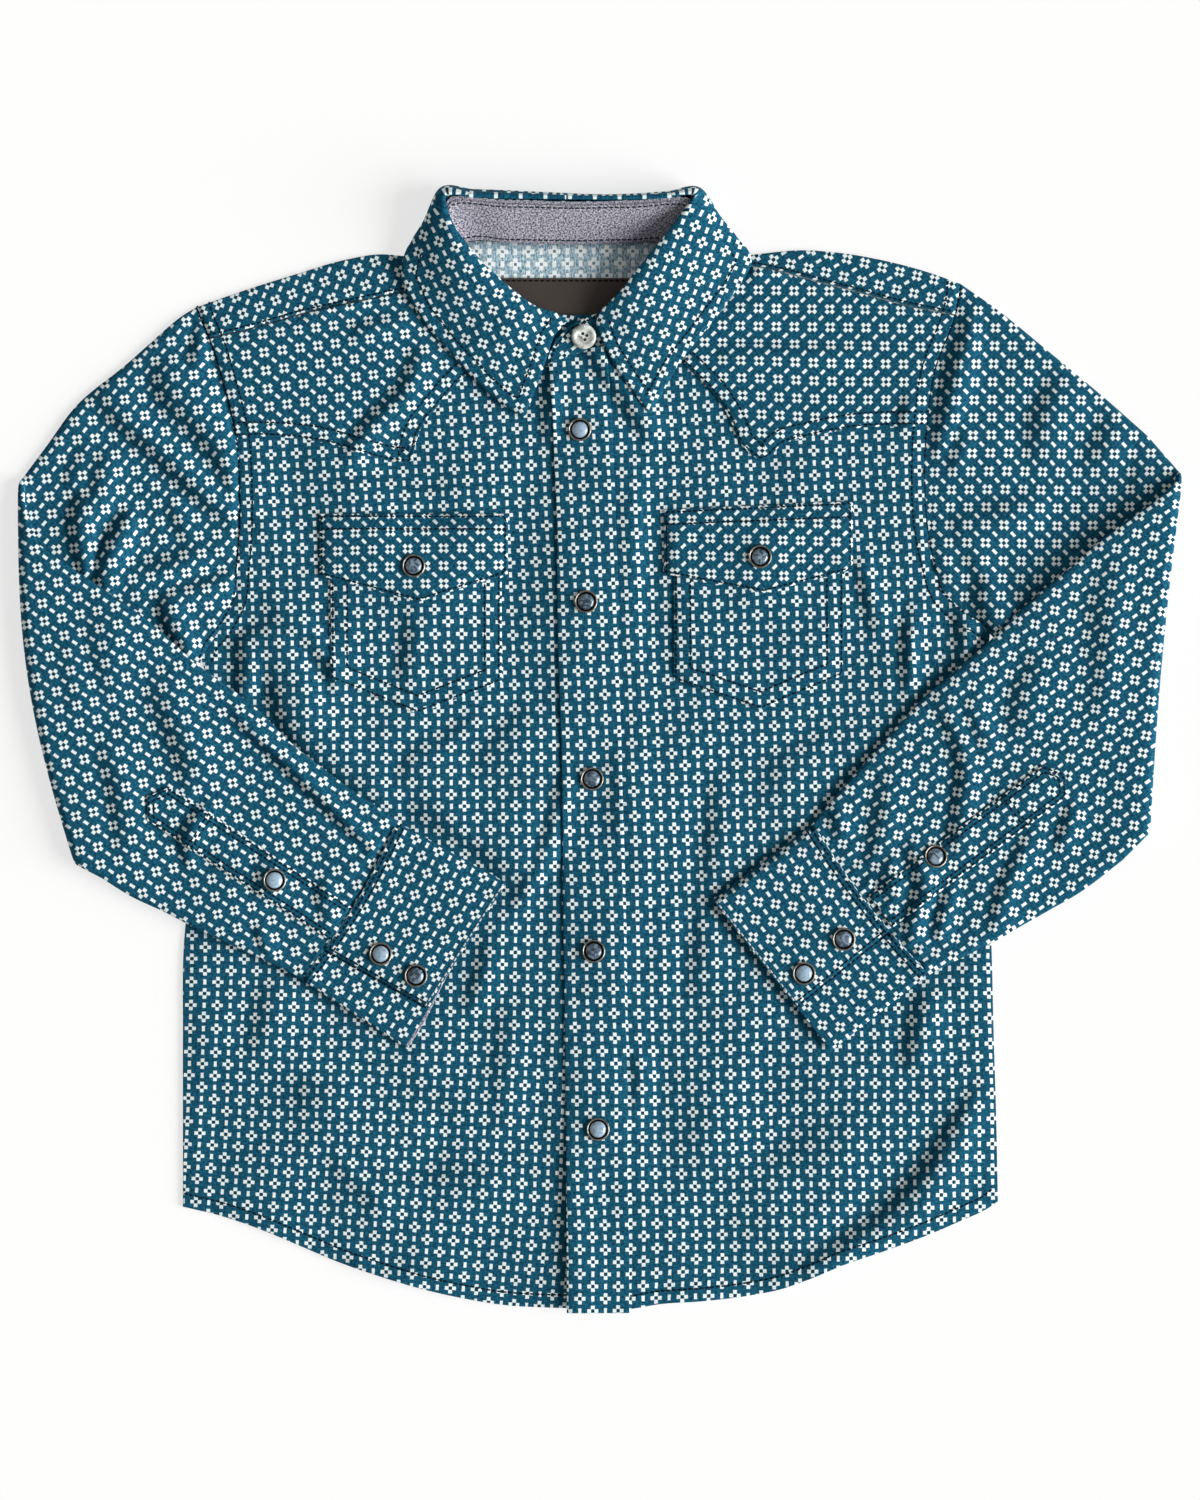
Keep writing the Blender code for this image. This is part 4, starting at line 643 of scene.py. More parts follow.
def panel_grid(up, across, left, right, foot, top):
    """x and y of a panel between two side edges (x of y), a foot and a top edge (y of x)."""
    up, across = crossed(up, across)
    y = BODY_FOOT + up * BODY_HEIGHT
    for _ in range(PANEL_ROUNDS):
        x = left(y) + across * (right(y) - left(y))
        y = foot(x) + up * (top(x) - foot(x))
    return x, y


def patch_between(left, right, foot, top):
    """x and y filled in smoothly between four edges; foot and top run from left to right."""
    across = np.linspace(0.0, 1.0, len(foot))[None, :, None]
    up = np.linspace(0.0, 1.0, len(left))[:, None, None]
    sides = left[:, None] * (1.0 - across) + right[:, None] * across
    ends = foot[None] * (1.0 - up) + top[None] * up
    corners = ((foot[0] * (1.0 - across) + foot[-1] * across) * (1.0 - up)
               + (top[0] * (1.0 - across) + top[-1] * across) * up)
    grid = sides + ends - corners
    return grid[..., 0], grid[..., 1]


def near_edge(x, y):
    """Distance of every grid point from the grid's own edges."""
    place = np.stack((x, y), axis=-1)
    distance = np.full(x.shape, FAR)
    for axis in (0, 1):
        steps = np.linalg.norm(np.diff(place, axis=axis), axis=2)
        run = np.insert(steps.cumsum(axis=axis), 0, 0.0, axis=axis)
        whole = np.take(run, [-1], axis=axis)
        distance = np.minimum(distance, np.minimum(run, whole - run))
    return distance


# ---------------------------------------------------------------- relief of the cloth

def from_photo(places):
    """x, y in millimetres of places in the photograph."""
    places = np.asarray(places, float)
    return np.column_stack(((places[:, 0] - PHOTO_MIDDLE[0]) * MM_PER_PIXEL,
                            (PHOTO_MIDDLE[1] - places[:, 1]) * MM_PER_PIXEL))


def along_path(path, x, y):
    """Signed distance from a path and fraction along it of its nearest point."""
    knots = chord_lengths(path)
    nearest = np.full(x.shape, FAR)
    signed = np.zeros(x.shape)
    part = np.zeros(x.shape)
    for start, stop, reached in zip(path, path[1:], knots):
        run = stop - start
        length = np.linalg.norm(run)
        t = np.clip(((x - start[0]) * run[0] + (y - start[1]) * run[1]) / length ** 2, 0.0, 1.0)
        off_x, off_y = x - start[0] - t * run[0], y - start[1] - t * run[1]
        distance = np.hypot(off_x, off_y)
        closer = distance < nearest
        nearest = np.where(closer, distance, nearest)
        side = np.where(off_x * run[1] - off_y * run[0] >= 0.0, 1.0, -1.0)
        signed = np.where(closer, side * distance, signed)
        part = np.where(closer, (reached + t * length) / knots[-1], part)
    return signed, part


def close_to(path, margin, x, y):
    """True where x, y lies in the path's box or within a margin of it."""
    low, high = path.min(axis=0) - margin, path.max(axis=0) + margin
    return (x > low[0]) & (x < high[0]) & (y > low[1]) & (y < high[1])


def creases(table, x, y):
    """Height of all the creases of a table at x, y: a trough on the left, a crest on the right."""
    total = np.zeros(np.shape(x))
    for places, height, width in table:
        path = resample(smooth_path(from_photo(places), step=CREASE_STEP), CREASE_NODES)
        width = CREASE_WIDEN * width
        near = close_to(path, 4.0 * width, x, y)
        if not near.any():
            continue
        off, part = along_path(path, x[near], y[near])
        fade = np.sin(np.pi * np.clip(part, 0.0, 1.0)) ** 0.6
        reach = off / (width * np.where(off > 0.0, 1.15, 0.85))
        total[near] += CREASE_GAIN * height * fade * (reach + 0.45) * np.exp(0.5 - 0.5 * reach ** 2)
    return CREASE_LIMIT * np.tanh(total / CREASE_LIMIT)


def waves(x, y, length, seed):
    """Gentle uneven swell of about that wave length, between about -1 and 1."""
    pick = np.random.default_rng(seed)
    total = np.zeros(np.shape(x))
    for _ in range(7):
        turn = pick.uniform(0.0, math.tau)
        size = length * pick.uniform(0.7, 1.6)
        phase = pick.uniform(0.0, math.tau)
        total = total + np.sin(math.tau * (x * math.cos(turn) + y * math.sin(turn)) / size + phase)
    return total / 3.5


def swell(x, y, sizes, seed):
    """Sum of uneven swells; each size is a height and a wave length."""
    return sum(height * waves(x, y, length, seed + i) for i, (height, length) in enumerate(sizes))


def puckers(run, edge, height, seed, length=8.0, reach=7.0):
    """Small ripples across a seam: run is the distance along it, edge the distance from it."""
    uneven = 1.0 + 0.5 * np.sin(run / 31.0 + seed) + 0.3 * np.sin(run / 13.0 + 2.0 * seed)
    ripple = np.sin(math.tau * (run + 2.5 * np.sin(run / 17.0 + seed)) / length)
    return height * uneven * ripple * np.exp(-(edge / reach) ** 2)


def above(lowest, height):
    """Height that levels out softly towards the lowest one."""
    over = height - lowest
    return lowest + 0.5 * (over + np.sqrt(over * over + 0.04))


def inside(outline, x, y):
    """True where x, y lies inside a closed outline."""
    found = np.zeros(np.shape(x), bool)
    for (x0, y0), (x1, y1) in zip(outline, np.roll(outline, -1, axis=0)):
        crosses = (y0 > y) != (y1 > y)
        with np.errstate(divide="ignore", invalid="ignore"):
            meets = (x1 - x0) * (y - y0) / (y1 - y0) + x0
        found ^= crosses & (x < meets)
    return found


def forearm_outline(side):
    """Outline of a forearm with its cuff, x and y."""
    rows = np.asarray(side.forearm)
    upper = [side.elbow["upper"], *rows[:, :2], side.cuff["wrist"][0]]
    under = [side.elbow["under"], *rows[:, 2:4], side.cuff["wrist"][1]]
    return np.array(upper + under[::-1])


for each in SIDES:
    each.outline = forearm_outline(each)


def beside_forearms(x, y):
    """Distance from the nearer forearm's outline."""
    distance = np.full(np.shape(x), FAR)
    for side in SIDES:
        near = close_to(side.outline, PRESS_REACH, x, y)
        if near.any():
            off, _ = along_path(closed_line(side.outline), x[near], y[near])
            distance[near] = np.minimum(distance[near], np.abs(off))
    return distance


def neck_raise(x, y):
    """How far the back yoke rises over the collar's back leaf."""
    across = smoothstep(NECK_HALF_WIDTH_END, NECK_HALF_WIDTH, np.abs(x - NECK_CENTRE_X))
    return NECK_RAISE * across * smoothstep(NECK_RAISE_FROM, NECK_RAISE_FULL, y)


def front_base(x, y):
    """Middle surface of the right front without its laps: crown, creases and swell."""
    across = np.clip(1.0 - ((x - BODY_CENTRE_X) / BODY_HALF_WIDTH) ** 4, 0.0, 1.0)
    crown = BODY_CROWN * across * smoothstep(CROWN_TOP_START, CROWN_TOP_FULL, y)
    inner = smoothstep(BODY_HALF_WIDTH, BODY_HALF_WIDTH - 14.0, np.abs(x - BODY_CENTRE_X))
    below_neck = smoothstep(CROWN_TOP_START + 8.0, CROWN_TOP_FULL, y)
    relief = (creases(BODY_CREASES, x, y) + swell(x, y, BODY_SWELL, 3) * below_neck) * inner
    press = PRESS_DEPTH * np.exp(-(beside_forearms(x, y) / PRESS_WIDTH) ** 2)
    height = above(FRONT_LOWEST, FRONT_MID + crown + relief - press)
    covered = inside(RIGHT.outline, x, y) | inside(LEFT.outline, x, y)
    return np.where(covered, np.minimum(height, UNDER_SLEEVE_TOP), height)


def lap(x, y):
    """Extra height where the left front lies on the right one; its open edge lifts at both ends."""
    lift = OPEN_EDGE_LIFT * smoothstep(-165.0, -200.0, y)
    lie = OPEN_EDGE_LIE * smoothstep(-6.0, -16.0, x)
    return LAYER * smoothstep(LAP_DOWN_AT, LAP_FLAT_TO, x) - lie + lift * smoothstep(4.0, -14.0, x)


def edge_fall(edge):
    """How far a panel comes down towards the layer below at its edge."""
    return EDGE_FALL * (1.0 - smoothstep(0.0, EDGE_FALL_WIDTH, edge))


def flat_cloth(x, y, turn=0.0, seed=1, lean=0.0, bend=0.0):
    """Place in the cloth for a flat piece whose warp is turned from +Y, in degrees.

    The grain also leans by a small angle, which grows with y by the bend, and is a little uneven.
    """
    moved_x = x + lean * y + 0.5 * bend * y ** 2 + 0.45 * waves(x, y, 75.0, seed)
    moved_y = y - (lean + bend * y) * x + 0.45 * waves(x, y, 75.0, seed + 50)
    cosine, sine = math.cos(math.radians(turn)), math.sin(math.radians(turn))
    return np.stack((moved_x * cosine + moved_y * sine, moved_y * cosine - moved_x * sine), axis=-1)




# ---------------------------------------------------------------- materials

class Value:
    """Output of a node, or of a sum that math nodes work out: + - * / and abs add such nodes."""

    def __init__(self, nodes, socket):
        self.nodes = nodes
        self.socket = socket

    def __add__(self, other):
        return self.nodes.math("ADD", self, other)

    def __sub__(self, other):
        return self.nodes.math("SUBTRACT", self, other)

    def __rsub__(self, other):
        return self.nodes.math("SUBTRACT", other, self)

    def __mul__(self, other):
        return self.nodes.math("MULTIPLY", self, other)

    def __truediv__(self, other):
        return self.nodes.math("DIVIDE", self, other)

    def __abs__(self):
        return self.nodes.math("ABSOLUTE", self)


class Nodes:
    """Short way to build one material's node tree."""

    def __init__(self, name, roughness=0.85, **inputs):
        self.material = bpy.data.materials.new(name)
        self.material.use_nodes = True
        self.tree = self.material.node_tree
        self.shader = self.tree.nodes["Principled BSDF"]
        self.shader.inputs["Roughness"].default_value = roughness
        for socket, value in inputs.items():
            self.shader.inputs[socket.replace("_", " ")].default_value = value

    def put(self, socket, value):
        """Link a value that comes from a node, or set a plain one."""
        if isinstance(value, Value):
            self.tree.links.new(value.socket, socket)
        else:
            socket.default_value = (*value, 1.0) if isinstance(value, tuple) else value

    def add(self, kind, **inputs):
        """New node with its inputs set or linked."""
        node = self.tree.nodes.new("ShaderNode" + kind)
        for socket, value in inputs.items():
            self.put(node.inputs[socket.replace("_", " ")], value)
        return node

    def math(self, operation, *values, clamp=False):
        """Math node on values or numbers."""
        node = self.add("Math")
        node.operation = operation
        node.use_clamp = clamp
        for socket, value in zip(node.inputs, values):
            self.put(socket, value)
        return Value(self, node.outputs[0])

    def mix(self, factor, one, other):
        """Mix of two colours."""
        node = self.add("Mix", Factor=factor)
        node.data_type = "RGBA"
        ends = [socket for socket in node.inputs if socket.type == "RGBA"]
        for socket, value in zip(ends, (one, other)):
            self.put(socket, value)
        return Value(self, [socket for socket in node.outputs if socket.type == "RGBA"][0])

    def noise(self, place, scale, detail=2.0, roughness=0.5, swirl=0.0):
        """Noise value at a place."""
        node = self.add("TexNoise", Vector=place, Scale=scale, Detail=detail, Roughness=roughness,
                        Distortion=swirl)
        return Value(self, node.outputs["Fac"])

    def cloth_place(self):
        """Place in the cloth, across and along the warp, in millimetres."""
        chart = self.add("UVMap")
        chart.uv_map = "cloth"
        split = self.add("SeparateXYZ", Vector=Value(self, chart.outputs["UV"]))
        return tuple(Value(self, split.outputs[i]) * 1000.0 for i in (0, 1))

    def join(self, x, y, z=0.0):
        """Vector of three values."""
        return Value(self, self.add("CombineXYZ", X=x, Y=y, Z=z).outputs[0])

    def object_place(self):
        """Place on the object, in metres."""
        return Value(self, self.add("TexCoord").outputs["Object"])

    def stretch(self, low, high, value):
        """Value moved from low..high to 0..1."""
        return Value(self, self.add("MapRange", Value=value, From_Min=low, From_Max=high).outputs[0])

    def colour(self, value):
        """Base colour of the shader."""
        self.put(self.shader.inputs["Base Color"], value)

    def bump(self, height, strength):
        """Bump of the surface."""
        node = self.add("Bump", Strength=strength, Distance=BUMP_DISTANCE, Height=height)
        self.put(self.shader.inputs["Normal"], Value(self, node.outputs[0]))


def dimmed(colour, part):
    """Darker tone of a colour."""
    return tuple(part * channel for channel in colour)


def motif(nodes, across, along, bleed):
    """Masks of the print: white crosses and dashes, grown by bleed, and the crosses' dark middles."""
    pitches = (PITCH_ACROSS, PITCH_ALONG)
    cells = [place / pitch + LATTICE_OFFSET for place, pitch in zip((across, along), pitches)]
    u, v = [abs((nodes.math("FRACT", cell) - 0.5) * pitch) for cell, pitch in zip(cells, pitches)]
    odd = nodes.math("MODULO", nodes.math("FLOOR", cells[0]) + nodes.math("FLOOR", cells[1]), 2.0)
    upright = nodes.math("MAXIMUM", u, abs(v - CROSS_REACH))
    level = nodes.math("MAXIMUM", v, abs(u - CROSS_REACH))
    cross = nodes.math("MINIMUM", upright, level) - CROSS_HALF
    dash = nodes.math("MAXIMUM", u - DASH_HALF_WIDTH, v - DASH_HALF_LENGTH)
    off = cross * (1.0 - odd) + dash * odd - bleed
    white = nodes.math("SUBTRACT", 0.5, off / PRINT_SOFTNESS, clamp=True)
    middle = nodes.math("MAXIMUM", u, v) - (CROSS_REACH - CROSS_HALF)
    dark = nodes.math("SUBTRACT", 0.5, middle / (2.0 * PRINT_SOFTNESS), clamp=True)
    return white, dark * (1.0 - odd)


def yarns(nodes, across, along):
    """Uneven yarns of the weave, about 0 to 1: warp and weft streaks."""
    warp = nodes.noise(nodes.join(across * 1.5, along * 0.7), 1.0)
    weft = nodes.noise(nodes.join(across * 0.7, along * 1.5, 7.0), 1.0)
    return (warp + weft) * 0.5


def weave_bump(nodes, across, along, weave):
    """Fine relief of a plain weave with its small wrinkles."""
    threads = nodes.math("SINE", across * 12.0) * nodes.math("SINE", along * 12.0)
    small = nodes.noise(nodes.join(across, along), 0.13, detail=3.0)
    nodes.bump((threads * 0.3 + weave) * 0.4 + small * 2.6, 1.0)


def printed_material(name, light, dark, deep, white, bleed=0.0, streaks=1.0):
    """Printed cotton: crosses and dashes on a ground of uneven yarns, drawn out into streaks."""
    nodes = Nodes(name, roughness=0.9, Specular_IOR_Level=0.12)
    across, along = nodes.cloth_place()
    weave = yarns(nodes, across * streaks, along / streaks)
    shift = (nodes.noise(nodes.join(across, along), 1.3, detail=1.0) - 0.5) * 0.35
    mask, middle = motif(nodes, across + shift, along + shift, bleed)
    ground = nodes.mix(nodes.stretch(0.40, 0.60, weave), dark, light)
    ground = nodes.mix(middle * 0.75, ground, deep)
    motif_white = nodes.mix(nodes.stretch(0.25, 0.60, weave), dimmed(white, 0.80), white)
    nodes.colour(nodes.mix(mask, ground, motif_white))
    weave_bump(nodes, across, along, weave)
    return nodes.material


def chambray_material():
    """Melange of violet-grey warp and white weft."""
    nodes = Nodes("chambray", roughness=0.9, Sheen_Weight=0.1)
    across, along = nodes.cloth_place()
    weave = yarns(nodes, across * 1.6, along * 1.6)
    speck = nodes.noise(nodes.join(across, along), 1.15, detail=2.0, roughness=0.7)
    tint = nodes.noise(nodes.join(along, across), 1.1, detail=2.0)
    pale = nodes.mix(nodes.stretch(0.40, 0.60, tint), CHAMBRAY_LIGHT, CHAMBRAY_VIOLET)
    nodes.colour(nodes.mix(nodes.stretch(0.43, 0.57, weave * 0.35 + speck * 0.65), CHAMBRAY_DARK, pale))
    weave_bump(nodes, across, along, weave)
    return nodes.material


def label_material():
    """Smooth dark ribbon of the label."""
    nodes = Nodes("label_ribbon", roughness=0.6, Sheen_Weight=0.2)
    across, along = nodes.cloth_place()
    fleck = nodes.noise(nodes.join(across, along), 2.0)
    nodes.colour(nodes.mix(nodes.stretch(0.3, 0.7, fleck), LABEL_BROWN, LABEL_BROWN_LIGHT))
    nodes.bump(nodes.math("SINE", along * 14.0), 0.2)
    return nodes.material


def thread_material(name, colour):
    """Sewing thread with its twist."""
    nodes = Nodes(name, roughness=0.8, Specular_IOR_Level=0.15)
    fleck = nodes.noise(nodes.object_place(), 2500.0)
    nodes.colour(nodes.mix(nodes.stretch(0.3, 0.7, fleck), dimmed(colour, 0.6), colour))
    nodes.bump(fleck, 0.3)
    return nodes.material


def metal_material(name, colour, roughness):
    """Metal with a worn tone."""
    nodes = Nodes(name, roughness=roughness, Metallic=1.0)
    worn = nodes.noise(nodes.object_place(), 900.0, detail=4.0)
    nodes.colour(nodes.mix(nodes.stretch(0.35, 0.7, worn), dimmed(colour, 0.45), colour))
    nodes.put(nodes.shader.inputs["Roughness"], worn * 0.25 + (roughness - 0.1))
    return nodes.material


def pearl_material(name, dark, light, scale, low, high):
    """Swirls of pearl in two tones."""
    nodes = Nodes(name, roughness=0.24, Coat_Weight=0.7, Coat_Roughness=0.12)
    place = nodes.object_place()
    cloud = nodes.noise(place, scale, detail=2.0, swirl=2.2)
    fine = nodes.noise(place, 4.0 * scale, detail=2.0, swirl=1.2)
    nodes.colour(nodes.mix(nodes.stretch(low, high, cloud * 0.75 + fine * 0.25), dark, light))
    return nodes.material


PRINT = printed_material("printed_cotton", TEAL_LIGHT, TEAL_DARK, MOTIF_DARK, MOTIF_WHITE)
WRONG_SIDE = printed_material("printed_cotton_wrong_side", PALE_GROUND, PALE_DARK, PALE_DARK, PALE_WHITE,
                              bleed=0.17, streaks=2.1)
CHAMBRAY = chambray_material()
LABEL_RIBBON = label_material()
THREAD = thread_material("thread_teal", THREAD_TEAL)
THREAD_NAVY = thread_material("thread_navy", THREAD_CHAMBRAY)
THREAD_WHITE = thread_material("thread_white", THREAD_PALE)
THREAD_BROWN = thread_material("thread_brown", THREAD_LABEL)
METAL = metal_material("antique_nickel", NICKEL, 0.32)
GROOVE_METAL = metal_material("snap_groove", GROOVE, 0.5)
PEARL_BRIGHT = pearl_material("pearl_bright", PEARL_DARK, PEARL_LIGHT, 210.0, 0.18, 0.50)
PEARL_DEEP = pearl_material("pearl_deep", PEARL_DARK, PEARL_LIGHT, 210.0, 0.42, 0.74)
BUTTON_PEARL = pearl_material("button_pearl", BUTTON_CREAM, BUTTON_WHITE, 180.0, 0.34, 0.58)

# Outer and inner face of a piece, and the thickness of its wall
ONE_LAYER = {"faces": (PRINT, WRONG_SIDE), "wall": THIN}
TURNED_EDGES = {"faces": (PRINT, PRINT), "wall": DOUBLE}


# ---------------------------------------------------------------- meshes

# Every sheet of cloth by its node: middle grid, outer points and cells
PIECES = {}
ALL_CELLS = (slice(None), slice(None))


def grid_faces(shape, closed=False, present=None):
    """Corner numbers of the cells of a grid of points."""
    numbers = np.arange(shape[0] * shape[1]).reshape(shape)
    following = np.roll(numbers, -1, axis=1) if closed else numbers[:, 1:]
    here = numbers if closed else numbers[:, :-1]
    cells = np.stack((here[:-1], following[:-1], following[1:], here[1:]), axis=-1).reshape(-1, 4)
    if present is not None:
        cells = cells[present.ravel()[cells].all(axis=1)]
    return cells


def cell_normals(a, b, c, d):
    """Normals of cells with those corners, as long as twice their area."""
    return np.cross(c - a, d - b)


def cell_areas(a, b, c, d):
    """Areas of cells, as two triangles each."""
    halves = np.cross(b - a, c - a), np.cross(c - a, d - a)
    return 0.5 * sum(np.linalg.norm(half, axis=1) for half in halves)


def corners_of(points, cells):
    """Four arrays: the places of every cell's corners."""
    return [points[cells[:, i]] for i in range(4)]


def grid_corners(grid):
    """Four grids: the places of every cell's corners."""
    return grid[:-1, :-1], grid[:-1, 1:], grid[1:, 1:], grid[1:, :-1]


def add_object(name, points, cells, materials=(), smooth=True):
    """Object in the scene, from points in millimetres."""
    mesh = bpy.data.meshes.new(name)
    mesh.from_pydata((points * MM).tolist(), [], cells)
    mesh.polygons.foreach_set("use_smooth", np.full(len(cells), smooth))
    for one in materials:
        mesh.materials.append(one)
    made = bpy.data.objects.new(name, mesh)
    bpy.context.scene.collection.objects.link(made)
    return made


def add_piece(name, points, cells, materials, slot, node=None):
    """Object that belongs to the shirt, and the CAD node that it replaces."""
    made = add_object(name, points, cells, materials)
    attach(made, "root")
    if node:
        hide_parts(node)
    return made


def chart(made, uv):
    """Gives a piece's points their places in the cloth."""
    mesh = made.data
    layer = mesh.uv_layers.new(name="cloth")
    corners = np.empty(len(mesh.loops), int)
    mesh.loops.foreach_get("vertex_index", corners)
    layer.data.foreach_set("uv", (uv[corners] * MM).ravel())


def cloth(node, grid, uv, faces, wall, up_cells=ALL_CELLS, face_up=True, held="laid", rests_on=(),
          closed=False, present=None, slot="printed_cotton"):
    """Sheet of cloth on a grid of middle points, with its outer face up at the cells up_cells.

    The grid has rows by columns by x, y, z. uv holds each point's place in the cloth.
    """
    facing = cell_normals(*grid_corners(grid))[up_cells][..., 2].sum() > 0.0
    cells = grid_faces(grid.shape[:2], closed, present)
    if facing != face_up:
        cells = cells[:, ::-1]
    used, cells = np.unique(cells, return_inverse=True)
    cells = cells.reshape(-1, 4)
    points, uv = grid.reshape(-1, 3)[used], uv.reshape(-1, 2)[used]
    made = add_piece("shirt_" + node, points, cells.tolist(), faces, slot, node)
    chart(made, uv)
    solid = made.modifiers.new("Wall", "SOLIDIFY")
    solid.thickness = wall * MM
    solid.offset = 0.0
    solid.use_quality_normals = True
    solid.material_offset = 1
    size = (uv.max(axis=0) - uv.min(axis=0)) * MM
    area = cell_areas(*corners_of(points, cells)).sum() * MM ** 2
    if closed:
        size[0] = area / size[1]
    else:
        area = min(area, AREA_SHARE * size[0] * size[1])
    float(AREA_SHARE * area)
    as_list(rests_on)
    PIECES[node] = {"grid": grid, "tree": outer_tree(points, cells, wall)}


def outer_tree(points, cells, wall):
    """Search tree of a sheet's outer face."""
    normals = np.zeros(points.shape)
    of_cells = cell_normals(*corners_of(points, cells))
    for corner in range(4):
        np.add.at(normals, cells[:, corner], of_cells)
    return BVHTree.FromPolygons((points + 0.5 * wall * unit(normals)).tolist(), cells.tolist())


def on_top(node, x, y):
    """Place and normal of a sheet's face at x, y, seen from above, or two times None."""
    place, normal, _, _ = PIECES[node]["tree"].ray_cast(Vector((x, y, SEEN_FROM)), Vector((0.0, 0.0, -1.0)))
    if place is None:
        return None, None
    if normal.z < 0.0:
        normal = -normal
    return np.array(place), np.array(normal)


def turned(profile, sides=ROUND_SIDES):
    """Points and cells of a profile of (radius, height) rows turned round Z."""
    turn = np.linspace(0.0, math.tau, sides, endpoint=False)
    profile = np.asarray(profile, float)
    points = np.stack((profile[:, :1] * np.cos(turn), profile[:, :1] * np.sin(turn),
                       np.repeat(profile[:, 1:], sides, axis=1)), axis=-1)
    return points.reshape(-1, 3), grid_faces(points.shape[:2], closed=True).tolist()


def turn_to(normal):
    """Rotation matrix that turns +Z to a normal."""
    return Vector((0.0, 0.0, 1.0)).rotation_difference(Vector(normal)).to_matrix()


# ---------------------------------------------------------------- body

def edge_path(rows):
    """Smooth edge along rows that hold y first: x of y."""
    return smooth_path(np.asarray(rows)[:, ::-1])


for each in SIDES:
    edge = smooth_path(each.armhole + each.seam[1:], corners=(len(each.armhole) - 1,))
    each.outer_x = reader(edge, 1, 0)
HEM_EDGE = smooth_path(HEM)
OPEN_EDGE = edge_path(np.array(PLACKET)[:, [0, 1]])
STITCHED_EDGE = edge_path(np.array(PLACKET)[:, [0, 2]])
hem_y = reader(HEM_EDGE)
open_x = reader(OPEN_EDGE, 1, 0)
stitched_x = reader(STITCHED_EDGE, 1, 0)
RIGHT.top_y = reader(smooth_path(TOP_RIGHT, corners=(NECK_POINT_RIGHT_ROW,)))
LEFT.top_y = reader(smooth_path(TOP_LEFT, corners=(NECK_POINT_LEFT_ROW,)))


def make_fronts():
    """Both fronts, the left one lapped over the right."""
    up = spaced(400.0)
    x, y = panel_grid(up, spaced(190.0), RIGHT.outer_x, constant(UNDERLAP_X), hem_y, RIGHT.top_y)
    edge = near_edge(x, y)
    past_open_edge = x - open_x(y)
    beside = smoothstep(-15.0, -1.0, past_open_edge) * smoothstep(3.0, 0.0, past_open_edge)
    z = front_base(x, y) + UNDERLAP_RISE * beside * smoothstep(-200.0, -165.0, y)
    z = z - edge_fall(edge) + puckers(x, edge, HEM_PUCKER, 1.0)
    cloth("front_right", stack(x, y, z), flat_cloth(x, y, lean=LEAN_RIGHT, bend=BEND_RIGHT),
          **ONE_LAYER, rests_on=["back"])
    x, y = panel_grid(up, spaced(200.0), open_x, LEFT.outer_x, hem_y, LEFT.top_y)
    edge = near_edge(x, y)
    z = front_base(x, y) + lap(x, y) - edge_fall(edge) + puckers(x, edge, HEM_PUCKER, 2.0)
    cloth("front_left", stack(x, y, z), flat_cloth(x, y, seed=2, lean=LEAN_LEFT, bend=BEND_LEFT),
          **ONE_LAYER, rests_on=["front_right"])


def back_edges(side):
    """Side edge of the back, below the yoke seam, and of its yoke, above it."""
    below = resample(smooth_path(side.seam[::-1]), 104)
    arm = resample(smooth_path(side.armhole[::-1][:YOKE_SEAM_NODE]), 24)
    above_seam = resample(smooth_path(side.armhole[YOKE_SEAM_NODE:0:-1]), 40)
    return np.vstack((below, arm[1:])), above_seam


def make_back():
    """The back, flat on the surface, up to its seam with the yoke."""
    left, right = back_edges(RIGHT)[0], back_edges(LEFT)[0]
    foot = resample(HEM_EDGE, 140)
    x, y = patch_between(left, right, foot, np.linspace(left[-1], right[-1], len(foot)))
    uneven = 0.5 + 0.5 * waves(x, y, 50.0, 8)
    z = BACK_MID + 0.15 * uneven * smoothstep(0.0, 20.0, near_edge(x, y))
    cloth("back", stack(x, y, z), flat_cloth(x, y, seed=3), **ONE_LAYER, face_up=False,
          rests_on=["surface"])


def shoulder_folds():
    """x, y of the yoke's top edge at the right shoulder, the neck and the left shoulder."""
    depth = (0.0, YOKE_FOLD_RADIUS + 0.5 * THIN)
    right = resample(smooth_path(SHOULDER_RIGHT), 44) - depth
    left = resample(smooth_path(SHOULDER_LEFT), 44)[::-1] - depth
    return right, resample(smooth_path(BACK_NECK), 56)[1:-1], left


def wrapped_cloth(wrap, right, left):
    """Place in the cloth of the strips on the front: folded back about the shoulder, on the bias."""
    place = wrap[..., :2].copy()
    for columns, fold in ((slice(0, len(right)), right), (slice(-len(left), None), left)):
        place[:, columns] = folded_over(place[:, columns], fold[0], fold[-1])
    return flat_cloth(place[..., 0], place[..., 1], 45.0, seed=14)


def folded_over(place, start, end):
    """Mirror image of places about the line from start to end."""
    line = unit(end - start)
    off = place - start
    return start + 2.0 * (off @ line)[..., None] * line - off


